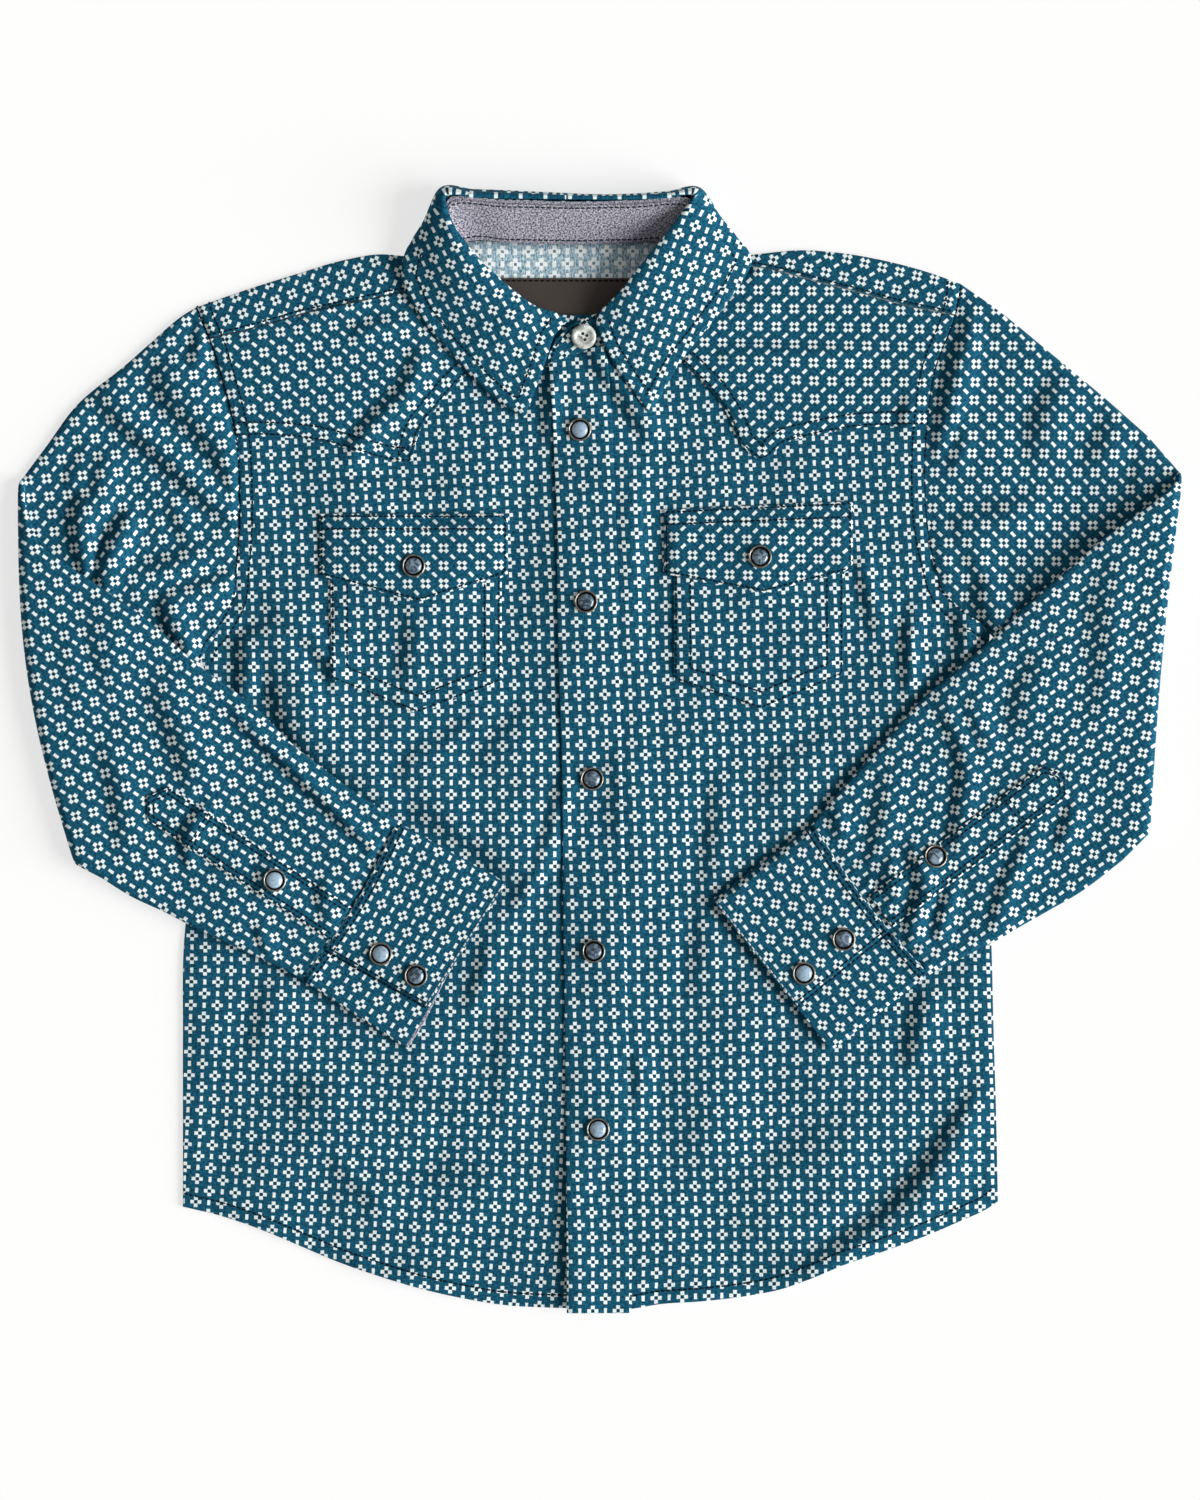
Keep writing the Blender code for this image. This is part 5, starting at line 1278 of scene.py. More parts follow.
def shoulder_wrap(start, end):
    """Rows of the yoke's strips, from the fold at start, round it and down to the seam at end."""
    rows = []
    for turn in np.linspace(0.0, math.pi, YOKE_FOLD_STEPS + 1)[1:]:
        rows.append(start + YOKE_FOLD_RADIUS * np.array((0.0, math.sin(turn), 1.0 - math.cos(turn))))
    over = rows[-1][:, :2]
    for part in np.linspace(0.0, 1.0, YOKE_STRIP_ROWS + 1)[1:]:
        place = over + part * (end - over)
        rise = FRONT_MID + 0.85 * smoothstep(0.0, 0.75, part)
        uneven = 0.25 * waves(place[:, 0], place[:, 1], 30.0, 12) * math.sin(math.pi * part)
        seam = puckers(place[:, 0], (1.0 - part) * 14.0, 0.14, 3.0)
        rows.append(np.column_stack((place, rise + uneven + seam)))
    return np.array(rows)


def make_back_yoke():
    """The back yoke: flat inside the neck, wrapped over both shoulders to the front seams."""
    right, neck, left = shoulder_folds()
    top = np.vstack((right, neck, left))
    side_right, side_left = back_edges(RIGHT)[1], back_edges(LEFT)[1]
    side_right[-1], side_left[-1] = top[0], top[-1]
    foot = np.linspace(side_right[0], side_left[0], len(top))
    x, y = patch_between(side_right, side_left, foot, top)
    flat = stack(x, y, BACK_MID + neck_raise(x, y))
    shoulders = np.r_[0:len(right), len(right) + len(neck):len(top)]
    ends = np.vstack((resample(smooth_path(STRIP_END_RIGHT), len(right)),
                      resample(smooth_path(STRIP_END_LEFT[::-1]), len(left))))
    wrap = np.zeros((YOKE_FOLD_STEPS + YOKE_STRIP_ROWS, len(top), 3))
    wrap[:, shoulders] = shoulder_wrap(flat[-1, shoulders], ends)
    present = np.ones((len(flat) + len(wrap), len(top)), bool)
    present[len(flat):, len(right):len(right) + len(neck)] = False
    uv = np.vstack((flat_cloth(x, y, seed=4), wrapped_cloth(wrap, right, left)))
    cloth("back_yoke", np.vstack((flat, wrap)), uv, **ONE_LAYER, up_cells=(slice(0, len(flat) - 1),),
          face_up=False, rests_on=["surface"], held="folded", present=present)


def make_overlay(node, side, x, y, layers, turn, seed, rests_on, beyond=None, lean=0.0):
    """Piece with turned edges that lies on a front; beyond is how far it reaches past the piece below."""
    edge = near_edge(x, y)
    base = front_base(x, y) + (lap(x, y) if side is LEFT else 0.0)
    puff = 0.35 * smoothstep(1.5, 7.0, edge)
    fall = 0.3 * (1.0 - smoothstep(0.0, 1.6, edge))
    if beyond is not None:
        fall = fall + 0.8 * smoothstep(0.0, 4.0, beyond)
    groove = 0.14 * np.exp(-((edge - 1.3) / 0.9) ** 2)
    z = base + layers * LAYER + puff - fall - groove + puckers(x + y, edge, 0.34, float(seed))
    cloth(node, stack(x, y, z), flat_cloth(x, y, turn, seed, lean), **TURNED_EDGES, rests_on=rests_on)


def make_front_yokes():
    """Pointed yokes on the fronts."""
    edges = ((RIGHT, 105.0, RIGHT.outer_x, constant(YOKE_INNER_RIGHT), 51.0, 5),
             (LEFT, 110.0, constant(YOKE_INNER_LEFT), LEFT.outer_x, -45.0, 6))
    for side, width, from_x, to_x, turn, seed in edges:
        foot = reader(smooth_path(side.yoke_foot, corners=(YOKE_POINT_ROW,)))
        x, y = panel_grid(spaced(60.0, 2.0), spaced(width, 1.8), from_x, to_x, foot, side.top_y)
        make_overlay("front_yoke_" + side.name, side, x, y, 1, turn, seed, ["front_" + side.name])


def make_placket():
    """The front band on the left front's edge."""
    up, across = crossed(spaced(430.0, 2.2), spaced(PLACKET_WIDTH, 2.0))
    top, bottom = PLACKET[0][0], PLACKET[-1][0]
    y = bottom + up * (top - bottom)
    x = open_x(y) + across * (stitched_x(y) - open_x(y))
    y = bottom + up * (LEFT.top_y(x) + 0.3 - bottom)
    edge = np.minimum(across, 1.0 - across) * PLACKET_WIDTH
    z = front_base(x, y) + lap(x, y) + LAYER + 0.15 * smoothstep(1.5, 6.0, edge)
    z = z - 0.25 * (1.0 - smoothstep(0.0, 1.5, edge)) + puckers(y, edge - 5.5, 0.22, 9.0, 9.0, 4.0)
    cloth("placket", stack(x, y, z), flat_cloth(x, y, seed=7, lean=LEAN_LEFT, bend=BEND_LEFT),
          **TURNED_EDGES, rests_on=["front_left"])


def patch_corners(patch):
    """Corners of a pocket or flap, counter-clockwise from its lower left."""
    x0, x1 = patch["x"]
    foot, top = patch["foot"], patch["top"]
    return np.array(((x0, foot[0]), (patch["point_x"], foot[1]), (x1, foot[2]), (x1, top[1]), (x0, top[0])))


def patch_grid(patch):
    """x, y of a pocket or flap."""
    corners = patch_corners(patch)
    x0, point, x1 = corners[:3, 0]
    columns = np.sort(np.append(spaced(80.0, 1.9), (point - x0) / (x1 - x0)))
    return panel_grid(spaced(40.0, 1.9), columns, constant(x0), constant(x1), reader(corners[:3]),
                      reader(corners[3:]))


def make_pockets():
    """Two patch pockets, each under its flap."""
    for side, seed in ((RIGHT, 10), (LEFT, 11)):
        pocket, flap = "pocket_" + side.name, "flap_" + side.name
        x, y = patch_grid(side.pocket)
        make_overlay(pocket, side, x, y, 1, 0.0, seed, ["front_" + side.name], lean=side.lean)
        x, y = patch_grid(side.flap)
        first, last = side.pocket["x"]
        beyond = np.maximum(np.maximum(first - x, x - last), y - min(side.pocket["top"]))
        make_overlay(flap, side, x, y, 2, -45.0 * side.sign, seed + 2, [pocket], beyond)



# ---------------------------------------------------------------- collar

def section_lengths(sections):
    """Mean distance along a table of sections."""
    steps = np.linalg.norm(np.diff(sections, axis=0), axis=2).mean(axis=1)
    return np.concatenate(([0.0], np.cumsum(steps)))


def blended_columns(grid, places):
    """Columns of a grid read at fractional column numbers."""
    low = np.minimum(np.floor(places).astype(int), grid.shape[1] - 2)
    rest = (places - low)[None, :, None]
    return grid[:, low] * (1.0 - rest) + grid[:, low + 1] * rest


def section_grid(table, width, along, across):
    """Grid on a smooth surface through a table of sections of width points each."""
    sections = np.asarray(table, float).reshape(len(table), width, 3)
    knots = section_lengths(sections)
    rows = hermite(sections, knots, np.linspace(0.0, knots[-1], along))
    places = np.linspace(0.0, width - 1.0, across)
    if width == 2:
        return blended_columns(rows, places)
    return np.swapaxes(hermite(np.swapaxes(rows, 0, 1), np.arange(width), places), 0, 1)


def rolled_step(known, row, known_uv, direction):
    """Place in the cloth of a row, from the row beside it whose place is known."""
    side = unit(known[-1] - known[0])
    normal = unit(np.cross((row - known).mean(axis=0) * direction, side))
    forward = np.cross(side, normal)
    strip = np.concatenate((known, row))
    strip = strip - strip.mean(axis=0)
    flat = np.column_stack((strip @ forward, strip @ side))
    here, there = flat[:len(known)].mean(axis=0), known_uv.mean(axis=0)
    a, b = flat[:len(known)] - here, known_uv - there
    turn = math.atan2((a[:, 0] * b[:, 1] - a[:, 1] * b[:, 0]).sum(), (a * b).sum())
    spin = np.array(((math.cos(turn), math.sin(turn)), (-math.sin(turn), math.cos(turn))))
    return (flat[len(known):] - here) @ spin + there


def unrolled(grid):
    """Place in the cloth of a bent strip, rolled out flat row by row from its middle row."""
    middle = len(grid) // 2
    uv = np.zeros(grid.shape[:2] + (2,))
    uv[middle, :, 1] = chord_lengths(grid[middle])
    for direction, rows in ((1, range(middle + 1, len(grid))), (-1, range(middle - 1, -1, -1))):
        for i in rows:
            known = i - direction
            uv[i] = rolled_step(grid[known], grid[i], uv[known], direction)
    return uv[..., ::-1]


def make_leaf():
    """The collar's leaf, which settles onto the yokes along its outer edge."""
    leaf = section_grid(LEAF, LEAF_POINTS, 230, 30)
    x, y = leaf[..., 0], leaf[..., 1]
    leaf[..., 2] += swell(x, y, LEAF_SWELL, 20) * smoothstep(0.0, 6.0, near_edge(x, y))
    outer = smoothstep(0.45, 1.0, np.linspace(0.0, 1.0, leaf.shape[1]))[None]
    settled = leaf[..., 2] - LEAF_SETTLE * outer * smoothstep(228.0, 214.0, y)
    support = front_base(x, y) + np.where(x > 0.0, lap(x, y), 0.0) + LAYER + 0.5 * (DOUBLE + COLLAR_WALL)
    leaf[..., 2] = np.minimum(leaf[..., 2], np.maximum(settled, support + LEAF_GAP))
    cloth("collar_leaf", leaf, unrolled(leaf), (PRINT, PRINT), COLLAR_WALL, held="folded",
          rests_on=["front_yoke_right", "front_yoke_left"])


def make_stand():
    """The collar's stand, whose tab is its last rows, with chambray on its inner face."""
    stand = section_grid(STAND, 2, 240, 14)
    cloth("collar_stand", stand, unrolled(stand), (PRINT, CHAMBRAY), COLLAR_WALL,
          up_cells=(slice(-8, -2),), held="folded", rests_on=["back_yoke"])
    return stand


def make_stand_lining(stand):
    """Chambray on the inner face of the stand, round the back of the neck from leaf to leaf."""
    place = section_lengths(stand)
    place /= place[-1]
    part = stand[(place > LINING_PART[0]) & (place < LINING_PART[1])]
    part = blended_columns(part, np.linspace(*LINING_RISE, 14) * (stand.shape[1] - 1.0))
    normals = unit(np.cross(np.gradient(part, axis=0), np.gradient(part, axis=1)))
    normals *= np.sign(((np.array(NECK_MIDDLE) - part) * normals).sum(axis=2))[..., None]
    away = 0.5 * (COLLAR_WALL + THIN) + LINING_GAP + 0.10 * waves(part[..., 0], part[..., 1], 20.0, 22)
    grid = part + away[..., None] * normals
    cloth("stand_lining", grid, unrolled(grid), (CHAMBRAY, CHAMBRAY), THIN, held="folded",
          rests_on=["collar_stand"], slot="chambray")


def make_label():
    """Bare label inside the back neck."""
    up, across = crossed(spaced(20.0, 1.4), spaced(60.0, 2.0))
    (x0, x1), (y0, y1) = LABEL["x"], LABEL["y"]
    x = x0 + across * (x1 - x0)
    y = y0 + up * (y1 - y0)
    z = BACK_MID + neck_raise(x, y) + LAYER + 0.12 * waves(x, y, 22.0, 24)
    cloth("neck_label", stack(x, y, z), flat_cloth(x, y), (LABEL_RIBBON, LABEL_RIBBON), THIN,
          rests_on=["back_yoke"], slot="label_weave")


# ---------------------------------------------------------------- sleeves

# Fractions across one layer of a sleeve, close together at both edges
SLEEVE_PARTS = spaced(130.0, 2.3, fine=SLEEVE_EDGE_STEPS)
LAYER_POINTS = len(SLEEVE_PARTS)


def sleeve_ring(upper, under, half, turn, shift):
    """Loop round a flattened sleeve: its first layer from the upper to the under edge, then back."""
    run = under - upper
    width = np.linalg.norm(run)
    along = run / width
    inward = np.array((-along[1], along[0], 0.0))
    inward *= math.copysign(1.0, -(upper[0] + under[0])) * math.copysign(1.0, inward[0])
    lift = math.cos(turn) * np.array((0.0, 0.0, 1.0)) + math.sin(turn) * inward
    edge = np.minimum(SLEEVE_PARTS, 1.0 - SLEEVE_PARTS) * width
    full = np.sqrt(1.0 - (1.0 - np.clip(edge / SLEEVE_EDGE_ROUND, 0.0, 1.0)) ** 2)
    place = upper + SLEEVE_PARTS[:, None] * run
    place[:, :2] += shift
    rise = ((half - 0.5 * THIN) * full)[:, None] * lift
    return np.vstack((place + rise, (place - rise)[-2:0:-1]))


def lying_ring(row, half, lifts, turn, shift):
    """Ring at a row of a sleeve table, raised by the lifts at its upper and under edge."""
    upper = np.array((row[0], row[1], row[4] + half + lifts[0]))
    under = np.array((row[2], row[3], row[5] + half + lifts[1]))
    return sleeve_ring(upper, under, half, turn, shift)


def upper_arm_rings(side):
    """Rings from the armhole, whose bow they follow, to the elbow."""
    arm = read_along(smooth_path(side.armhole), SLEEVE_PARTS)
    bow = arm - (arm[0] + SLEEVE_PARTS[:, None] * (arm[-1] - arm[0]))
    tangent = np.gradient(arm, axis=0)
    normal = unit(np.column_stack((-tangent[:, 1], tangent[:, 0])))
    normal *= side.sign * np.sign(normal[len(normal) // 2, 0])
    rings = []
    for part in np.linspace(0.0, 1.0, UPPER_RINGS):
        half = ARMHOLE_HALF + (SLEEVE_HALF - ARMHOLE_HALF) * smoothstep(0.0, 0.3, part)
        shift = bow * smoothstep(0.8, 0.0, part) + ARMHOLE_GAP * normal
        rings.append(lying_ring(table_row(side.upper_arm, part), half, (SLEEVE_LIE, SLEEVE_LIE), 0.0, shift))
    return rings


def elbow_bulge(side):
    """How far the elbow's fold bulges outwards, across the sleeve."""
    bulge = side.sign * np.sin(np.pi * SLEEVE_PARTS) * side.elbow["bulge"]
    return np.column_stack((bulge, np.zeros(LAYER_POINTS)))


def elbow_rings(side):
    """Rings round the fold from the upper arm to the forearm on top of it."""
    rings = []
    for step in range(FOLD_STEPS + 1):
        turn = math.pi * step / FOLD_STEPS
        next_row = side.upper_arm[-1] if 2 * step <= FOLD_STEPS else side.forearm[0]
        ends = []
        edges = (side.elbow["upper"], side.elbow["under"])
        for edge, lift, column in zip(edges, side.elbow["lift"], (0, 2)):
            radius = 0.5 * (FOREARM_UNDERSIDE + lift)
            in_by = SLEEVE_HALF + radius * (1.0 - math.sin(turn))
            rise = SLEEVE_LIE + SLEEVE_HALF + radius * (1.0 - math.cos(turn))
            back = np.subtract(next_row[column:column + 2], edge)
            ends.append(np.append(edge + in_by * back / abs(back[0]), rise))
        rings.append(sleeve_ring(*ends, SLEEVE_HALF, turn, elbow_bulge(side)))
    return rings


def forearm_rings(side):
    """Rings from the elbow to the cuff seam, which bows towards the wrist."""
    bow = np.sin(np.pi * SLEEVE_PARTS)[:, None] * side.cuff["seam_bow"] * to_wrist(side.cuff)
    rings = []
    for part in np.linspace(0.0, 1.0, FOREARM_RINGS):
        shift = elbow_bulge(side) * 0.6 * smoothstep(0.3, 0.0, part) + bow * smoothstep(0.6, 1.0, part)
        half = SLEEVE_HALF + (CUFF_END_HALF - SLEEVE_HALF) * smoothstep(0.93, 1.0, part)
        lifts = np.multiply(side.elbow["lift"], smoothstep(ELBOW_LIFT_REACH, 0.0, part))
        rings.append(lying_ring(table_row(side.forearm, part), half, lifts, math.pi, shift))
    return rings


def relieved(rings, shows, table, seed, fade_in, fade_out, seam, lowest):
    """Heights of a layer of rings with creases, swell and the puckers of its seam where it shows."""
    x, y, z = rings[..., 0], rings[..., 1], rings[..., 2]
    along = np.linspace(0.0, 1.0, len(rings))[:, None]
    relief = creases(table, x, y) + swell(x, y, SLEEVE_SWELL, seed)
    relief = relief * smoothstep(0.0, fade_in, along) * smoothstep(1.0, fade_out, along) + seam(x, y, along)
    return np.where(shows > 0.0, above(lowest, z + relief * shows), z)


def armhole_puckers(x, y, along):
    """Puckers of a sleeve beside its armhole seam."""
    return puckers(y, along * 150.0, 0.55, 5.0, 9.0, 14.0)


def cuff_puckers(x, y, along):
    """Puckers of a sleeve beside its cuff seam."""
    return puckers(x - y, (1.0 - along) * 170.0, 0.75, 6.0, 10.0, 18.0) * smoothstep(1.0, 0.96, along)


def add_sleeve_relief(grid, outline):
    """Adds relief to the layers of a sleeve that show: the upper arm's first, the forearm's second."""
    from_edge = np.minimum(np.arange(LAYER_POINTS), np.arange(LAYER_POINTS)[::-1])
    first = np.zeros(grid.shape[1])
    first[:LAYER_POINTS] = smoothstep(0.0, 9.0, from_edge)
    second = np.zeros(grid.shape[1])
    second[LAYER_POINTS:] = first[LAYER_POINTS - 2:0:-1]
    upper_arm = grid[:UPPER_RINGS]
    height = relieved(upper_arm, first, UPPER_ARM_CREASES, 31, 0.12, 0.9, armhole_puckers, SLEEVE_LOWEST)
    covered = inside(outline, upper_arm[..., 0], upper_arm[..., 1]) & (first > 0.0)
    upper_arm[..., 2] = np.where(covered, np.minimum(height, UPPER_ARM_TOP), height)
    forearm = grid[UPPER_RINGS + FOLD_STEPS + 1:]
    forearm[..., 2] = relieved(forearm, second, FOREARM_CREASES, 35, 0.10, 0.93, cuff_puckers,
                               FOREARM_UNDERSIDE + SLEEVE_LOWEST)


def sleeve_cloth(grid, side):
    """Place in the cloth: the sleeve laid out straight, the forearm turned back across its fold."""
    start, end = np.array(side.elbow["upper"]), np.array(side.elbow["under"])
    armhole = side.upper_arm[0]
    axis = unit(unit(start - armhole[:2]) + unit(end - armhole[2:4]))
    flat = grid[..., :2].copy()
    forearm = slice(UPPER_RINGS + FOLD_STEPS // 2, None)
    flat[forearm] = folded_over(flat[forearm], start, end)
    x = flat[..., 0] + 0.4 * waves(grid[..., 0], grid[..., 1], 60.0, 40)
    y = flat[..., 1] + 0.4 * waves(grid[..., 0], grid[..., 1], 60.0, 41)
    return np.stack((x * axis[1] - y * axis[0], x * axis[0] + y * axis[1]), axis=-1)


def make_sleeves():
    """Both sleeves, each a flattened tube of one piece."""
    for side in SIDES:
        grid = np.array(upper_arm_rings(side) + elbow_rings(side) + forearm_rings(side))
        uv = sleeve_cloth(grid, side)
        add_sleeve_relief(grid, side.outline)
        cloth("sleeve_" + side.name, grid, uv, **ONE_LAYER, held="folded", closed=True,
              up_cells=(slice(0, UPPER_RINGS - 1), slice(0, LAYER_POINTS - 1)),
              rests_on=["surface", "front_" + side.name])


# ---------------------------------------------------------------- cuffs and tower plackets

def to_wrist(cuff):
    """Direction from a cuff's seam to its wrist edge."""
    return unit(np.subtract(cuff["wrist"][0], cuff["seam"][0]))


def cuff_place(cuff, across, out):
    """x, y on a cuff: fractions from the upper to the under fold and from the seam to the wrist."""
    across, out = np.broadcast_arrays(across, out)
    seam, wrist = np.array(cuff["seam"]), np.array(cuff["wrist"])
    ends = seam * (1.0 - out)[:, None, None] + wrist * out[:, None, None]
    bow = cuff["seam_bow"] * np.sin(np.pi * across) * (1.0 - out)
    return ends[:, 0] + across[:, None] * (ends[:, 1] - ends[:, 0]) + bow[:, None] * to_wrist(cuff)


def cuff_path(lap_to):
    """Way round a cuff: fraction from the upper to the under fold, and height in layers.

    It runs on top from the lap to the upper fold, back underneath, and up into the underlap.
    """
    path = [(part, 2.0) for part in np.linspace(lap_to, 0.03, 26)]
    for turn in np.linspace(0.25, math.pi - 0.25, 9):
        path.append((0.015 * (1.0 + math.cos(turn)) - 0.006 * math.sin(turn), 1.0 + math.cos(turn)))
    path += [(part, 0.0) for part in np.linspace(0.03, 0.975, 32)]
    for turn in np.linspace(0.3, math.pi - 0.3, 7):
        path.append((0.975 + 0.018 * math.sin(turn), 0.5 - 0.5 * math.cos(turn)))
    path += [(part, 1.0) for part in np.linspace(0.975, CUFF_UNDERLAP_TO, 14)]
    return np.transpose(path)


def cuff_row(cuff, out):
    """Points of one way round a cuff, out from the seam to the wrist."""
    lap_seam, lap_wrist = cuff["lap"]
    across, layers = cuff_path(lap_seam + max(out, 0.0) * (lap_wrist - lap_seam))
    lower = smoothstep(1.2, 0.8, layers) * smoothstep(0.5, 0.9, across)
    place = cuff_place(cuff, across, out) + (out * cuff["wrist_under"] * lower)[:, None] * to_wrist(cuff)
    edge = max(0.0, min(out, 1.0 - out)) * CUFF_LENGTH
    on_top_layer = layers > 1.5
    relief = swell(place[:, 0], place[:, 1], CUFF_SWELL, 45) * smoothstep(0.0, 8.0, edge)
    relief = above(-0.25, relief + puckers(across * CUFF_WIDTH, edge, 0.30, 7.0)) * on_top_layer
    under_seam = 0.95 * (np.abs(layers - 1.0) < 0.3) + 0.15 * on_top_layer
    height = CUFF_UNDERSIDE + CUFF_HALF_LAYER + layers * CUFF_RISE
    return np.column_stack((place, height + relief + smoothstep(0.10, 0.0, out) * under_seam))


def reaches_over(cuff):
    """True for the parts of a cuff that reach over the sleeve: its top layer and open underlap."""
    across, layers = cuff_path(cuff["lap"][1])
    top = (layers > 1.9) & (across > 0.02)
    underlap = (np.abs(layers - 1.0) < 0.01) & (across > cuff["lap"][0] + 0.01)
    return top | underlap


def make_cuff(side):
    """A lapped cuff band from the sleeve's end to the wrist edge."""
    outs = np.concatenate((CUFF_OVERLAP, spaced(CUFF_LENGTH, 2.2)))
    grid = np.array([cuff_row(side.cuff, out) for out in outs])
    over_sleeve = len(CUFF_OVERLAP)
    present = np.ones(grid.shape[:2], bool)
    present[:over_sleeve] = reaches_over(side.cuff)
    run = np.mean([chord_lengths(row) for row in grid], axis=0)
    uv = np.stack(crossed(outs * CUFF_LENGTH, run), axis=-1)
    cloth("cuff_" + side.name, grid, uv, (PRINT, CHAMBRAY), DOUBLE, held="folded", present=present,
          up_cells=(slice(over_sleeve, None), slice(0, 19)), rests_on=["front_" + side.name])


def tower_frame(tower):
    """Start and end of a tower placket, and the directions along and across it."""
    start, end = np.array(tower["start"]), np.array(tower["end"])
    along = unit(end - start)
    return start, end, along, np.array((-along[1], along[0]))


def make_tower(side):
    """Tower placket of a sleeve: a strip with a pointed end."""
    start, end, along, across = tower_frame(side.tower)
    length, width = np.linalg.norm(end - start), side.tower["width"]
    up, over = crossed(spaced(length, 2.2), spaced(width, 2.0) - 0.5)
    reach = up * (length + side.tower["point"] * (1.0 - 2.0 * np.abs(over)))
    place = start + reach[..., None] * along + (over * width)[..., None] * across
    carrier = "sleeve_" + side.name
    height = np.array([[on_top(carrier, *spot)[0][2] for spot in row] for row in place])
    edge = (0.5 - np.abs(over)) * width
    z = height + TOWER_GAP + 0.5 * DOUBLE + 0.12 * smoothstep(1.0, 5.0, edge)
    uv = np.stack((over * width, reach + TOWER_PRINT_SHIFT), axis=-1)
    cloth("sleeve_placket_" + side.name, np.dstack((place, z)), uv, **TURNED_EDGES, rests_on=[carrier])


# ---------------------------------------------------------------- stitches

def shifted(path, distance):
    """Path moved to its left by a distance."""
    run = unit(np.gradient(np.asarray(path, float), axis=0))
    return path + distance * np.column_stack((-run[:, 1], run[:, 0]))


def inset(corners, distance):
    """Closed outline moved inwards."""
    corners = np.asarray(corners, float)
    following = np.roll(corners, -1, axis=0)
    before = unit(corners - np.roll(corners, 1, axis=0))
    after = unit(following - corners)
    bend = 1.0 + (before * after).sum(axis=1)
    mitre = np.column_stack((-before[:, 1] - after[:, 1], before[:, 0] + after[:, 0])) / bend[:, None]
    doubled_area = (corners[:, 0] * following[:, 1] - corners[:, 1] * following[:, 0]).sum()
    return corners + math.copysign(distance, doubled_area) * mitre


def stitch_mesh(places, along, normals):
    """Points and cells of small spindles, one for each stitch."""
    side = unit(np.cross(normals, along))
    rings = [(-1.0, 0.0, 0.0)]
    rings += [(end, across, up) for end in (-0.62, 0.62) for across, up in STITCH_RING]
    rings.append((1.0, 0.0, 0.0))
    points = np.stack([places + reach * 0.5 * STITCH_LENGTH * along + across * STITCH_HALF_WIDTH * side
                       + (up * 2.0 * STITCH_HEIGHT + STITCH_LIFT) * normals
                       for reach, across, up in rings], axis=1)
    turns = [(i, (i + 1) % 4) for i in range(4)]
    one = [(1 + i, 1 + after, 5 + after, 5 + i) for i, after in turns]
    one += [(0, 1 + after, 1 + i) for i, after in turns] + [(9, 5 + i, 5 + after) for i, after in turns]
    starts = range(0, len(rings) * len(places), len(rings))
    cells = [tuple(start + corner for corner in cell) for start in starts for cell in one]
    return points.reshape(-1, 3), cells


def highest(nodes, spot):
    """Place and normal of the highest of some sheets at a spot, or None beside all of them."""
    hits = [on_top(node, *spot) for node in nodes]
    hits = [hit for hit in hits if hit[0] is not None]
    return max(hits, key=lambda hit: hit[0][2]) if hits else None


def sew(name, lines, thread, slot="printed_cotton"):
    """Rows of stitches: each line is a path and the sheets that it may lie on."""
    places, runs, normals = [], [], []
    for path, carriers in lines:
        spots = resample(path, max(2, int(chord_lengths(path)[-1] / STITCH_PITCH)))
        for spot, direction in zip(spots, np.gradient(spots, axis=0)):
            hit = highest(carriers, spot)
            if hit is None:
                continue
            place, normal = hit
            run = np.append(direction, 0.0)
            places.append(place)
            runs.append(unit(run - (run @ normal) * normal))
            normals.append(normal)
    points, cells = stitch_mesh(np.array(places), np.array(runs), np.array(normals))
    add_piece(name, points, cells, [thread], slot)


def body_lines():
    """Topstitching of the fronts, placket, yokes, pockets and flaps."""
    lines = [(shifted(OPEN_EDGE, -5.5), ["placket"]), (shifted(STITCHED_EDGE, 5.5), ["placket"]),
             (shifted(STITCHED_EDGE, 0.9), ["placket"]),
             (shifted(HEM_EDGE, 6.0), ["front_right", "front_left"])]
    for side in SIDES:
        path = smooth_path(side.yoke_foot, corners=(YOKE_POINT_ROW,))
        for distance in (1.2, 6.6):
            lines.append((shifted(path, -side.sign * distance), ["front_yoke_" + side.name]))
    for side in SIDES:
        carrier = ["flap_" + side.name]
        corners = patch_corners(side.flap)
        lines.append((closed_line(inset(corners, 1.2)), carrier))
        lines.append((inset(corners, 7.0)[3:] + np.array(((5.6, 0.0), (-5.6, 0.0))), carrier))
        for distance in (1.2, 7.8):
            around = inset(patch_corners(side.pocket), distance)
            lines.append((around[[4, 0, 1, 2, 3]], ["pocket_" + side.name]))
    return lines


def armhole_lines():
    """Rows inside the armholes and along the shoulder seams."""
    lines = []
    for side in SIDES:
        path = smooth_path(side.armhole)
        carriers = ["front_" + side.name, "front_yoke_" + side.name, "back_yoke"]
        lines.append((shifted(path, 0.3 * side.sign), carriers + ["sleeve_" + side.name]))
        lines.append((shifted(path, -5.6 * side.sign), carriers))
    for strip, distance in ((STRIP_END_RIGHT, 1.3), (STRIP_END_LEFT, -1.3)):
        lines.append((shifted(smooth_path(strip), distance), ["back_yoke"]))
    return lines


def collar_lines():
    """Rows inside the edges of the leaf and of the stand's tab."""
    lines = []
    sections = np.array(LEAF).reshape(len(LEAF), LEAF_POINTS, 3)[..., :2]
    for half in (sections[:7], sections[:14:-1]):
        outline = np.vstack((half[0], half[1:, -1], half[:0:-1, 0]))
        row = inset(outline, 6.0)
        lines.append((row[:LEAF_POINTS + len(half) - 1], ["collar_leaf"]))
    lines.append((shifted(np.array(STAND)[-6:, 3:5], 1.4), ["collar_stand"]))
    return lines


def cuff_line(side, across, out):
    """Straight row on a cuff; across and out each hold its first and last fraction."""
    return cuff_place(side.cuff, np.linspace(*across, 20), np.linspace(*out, 20)), ["cuff_" + side.name]


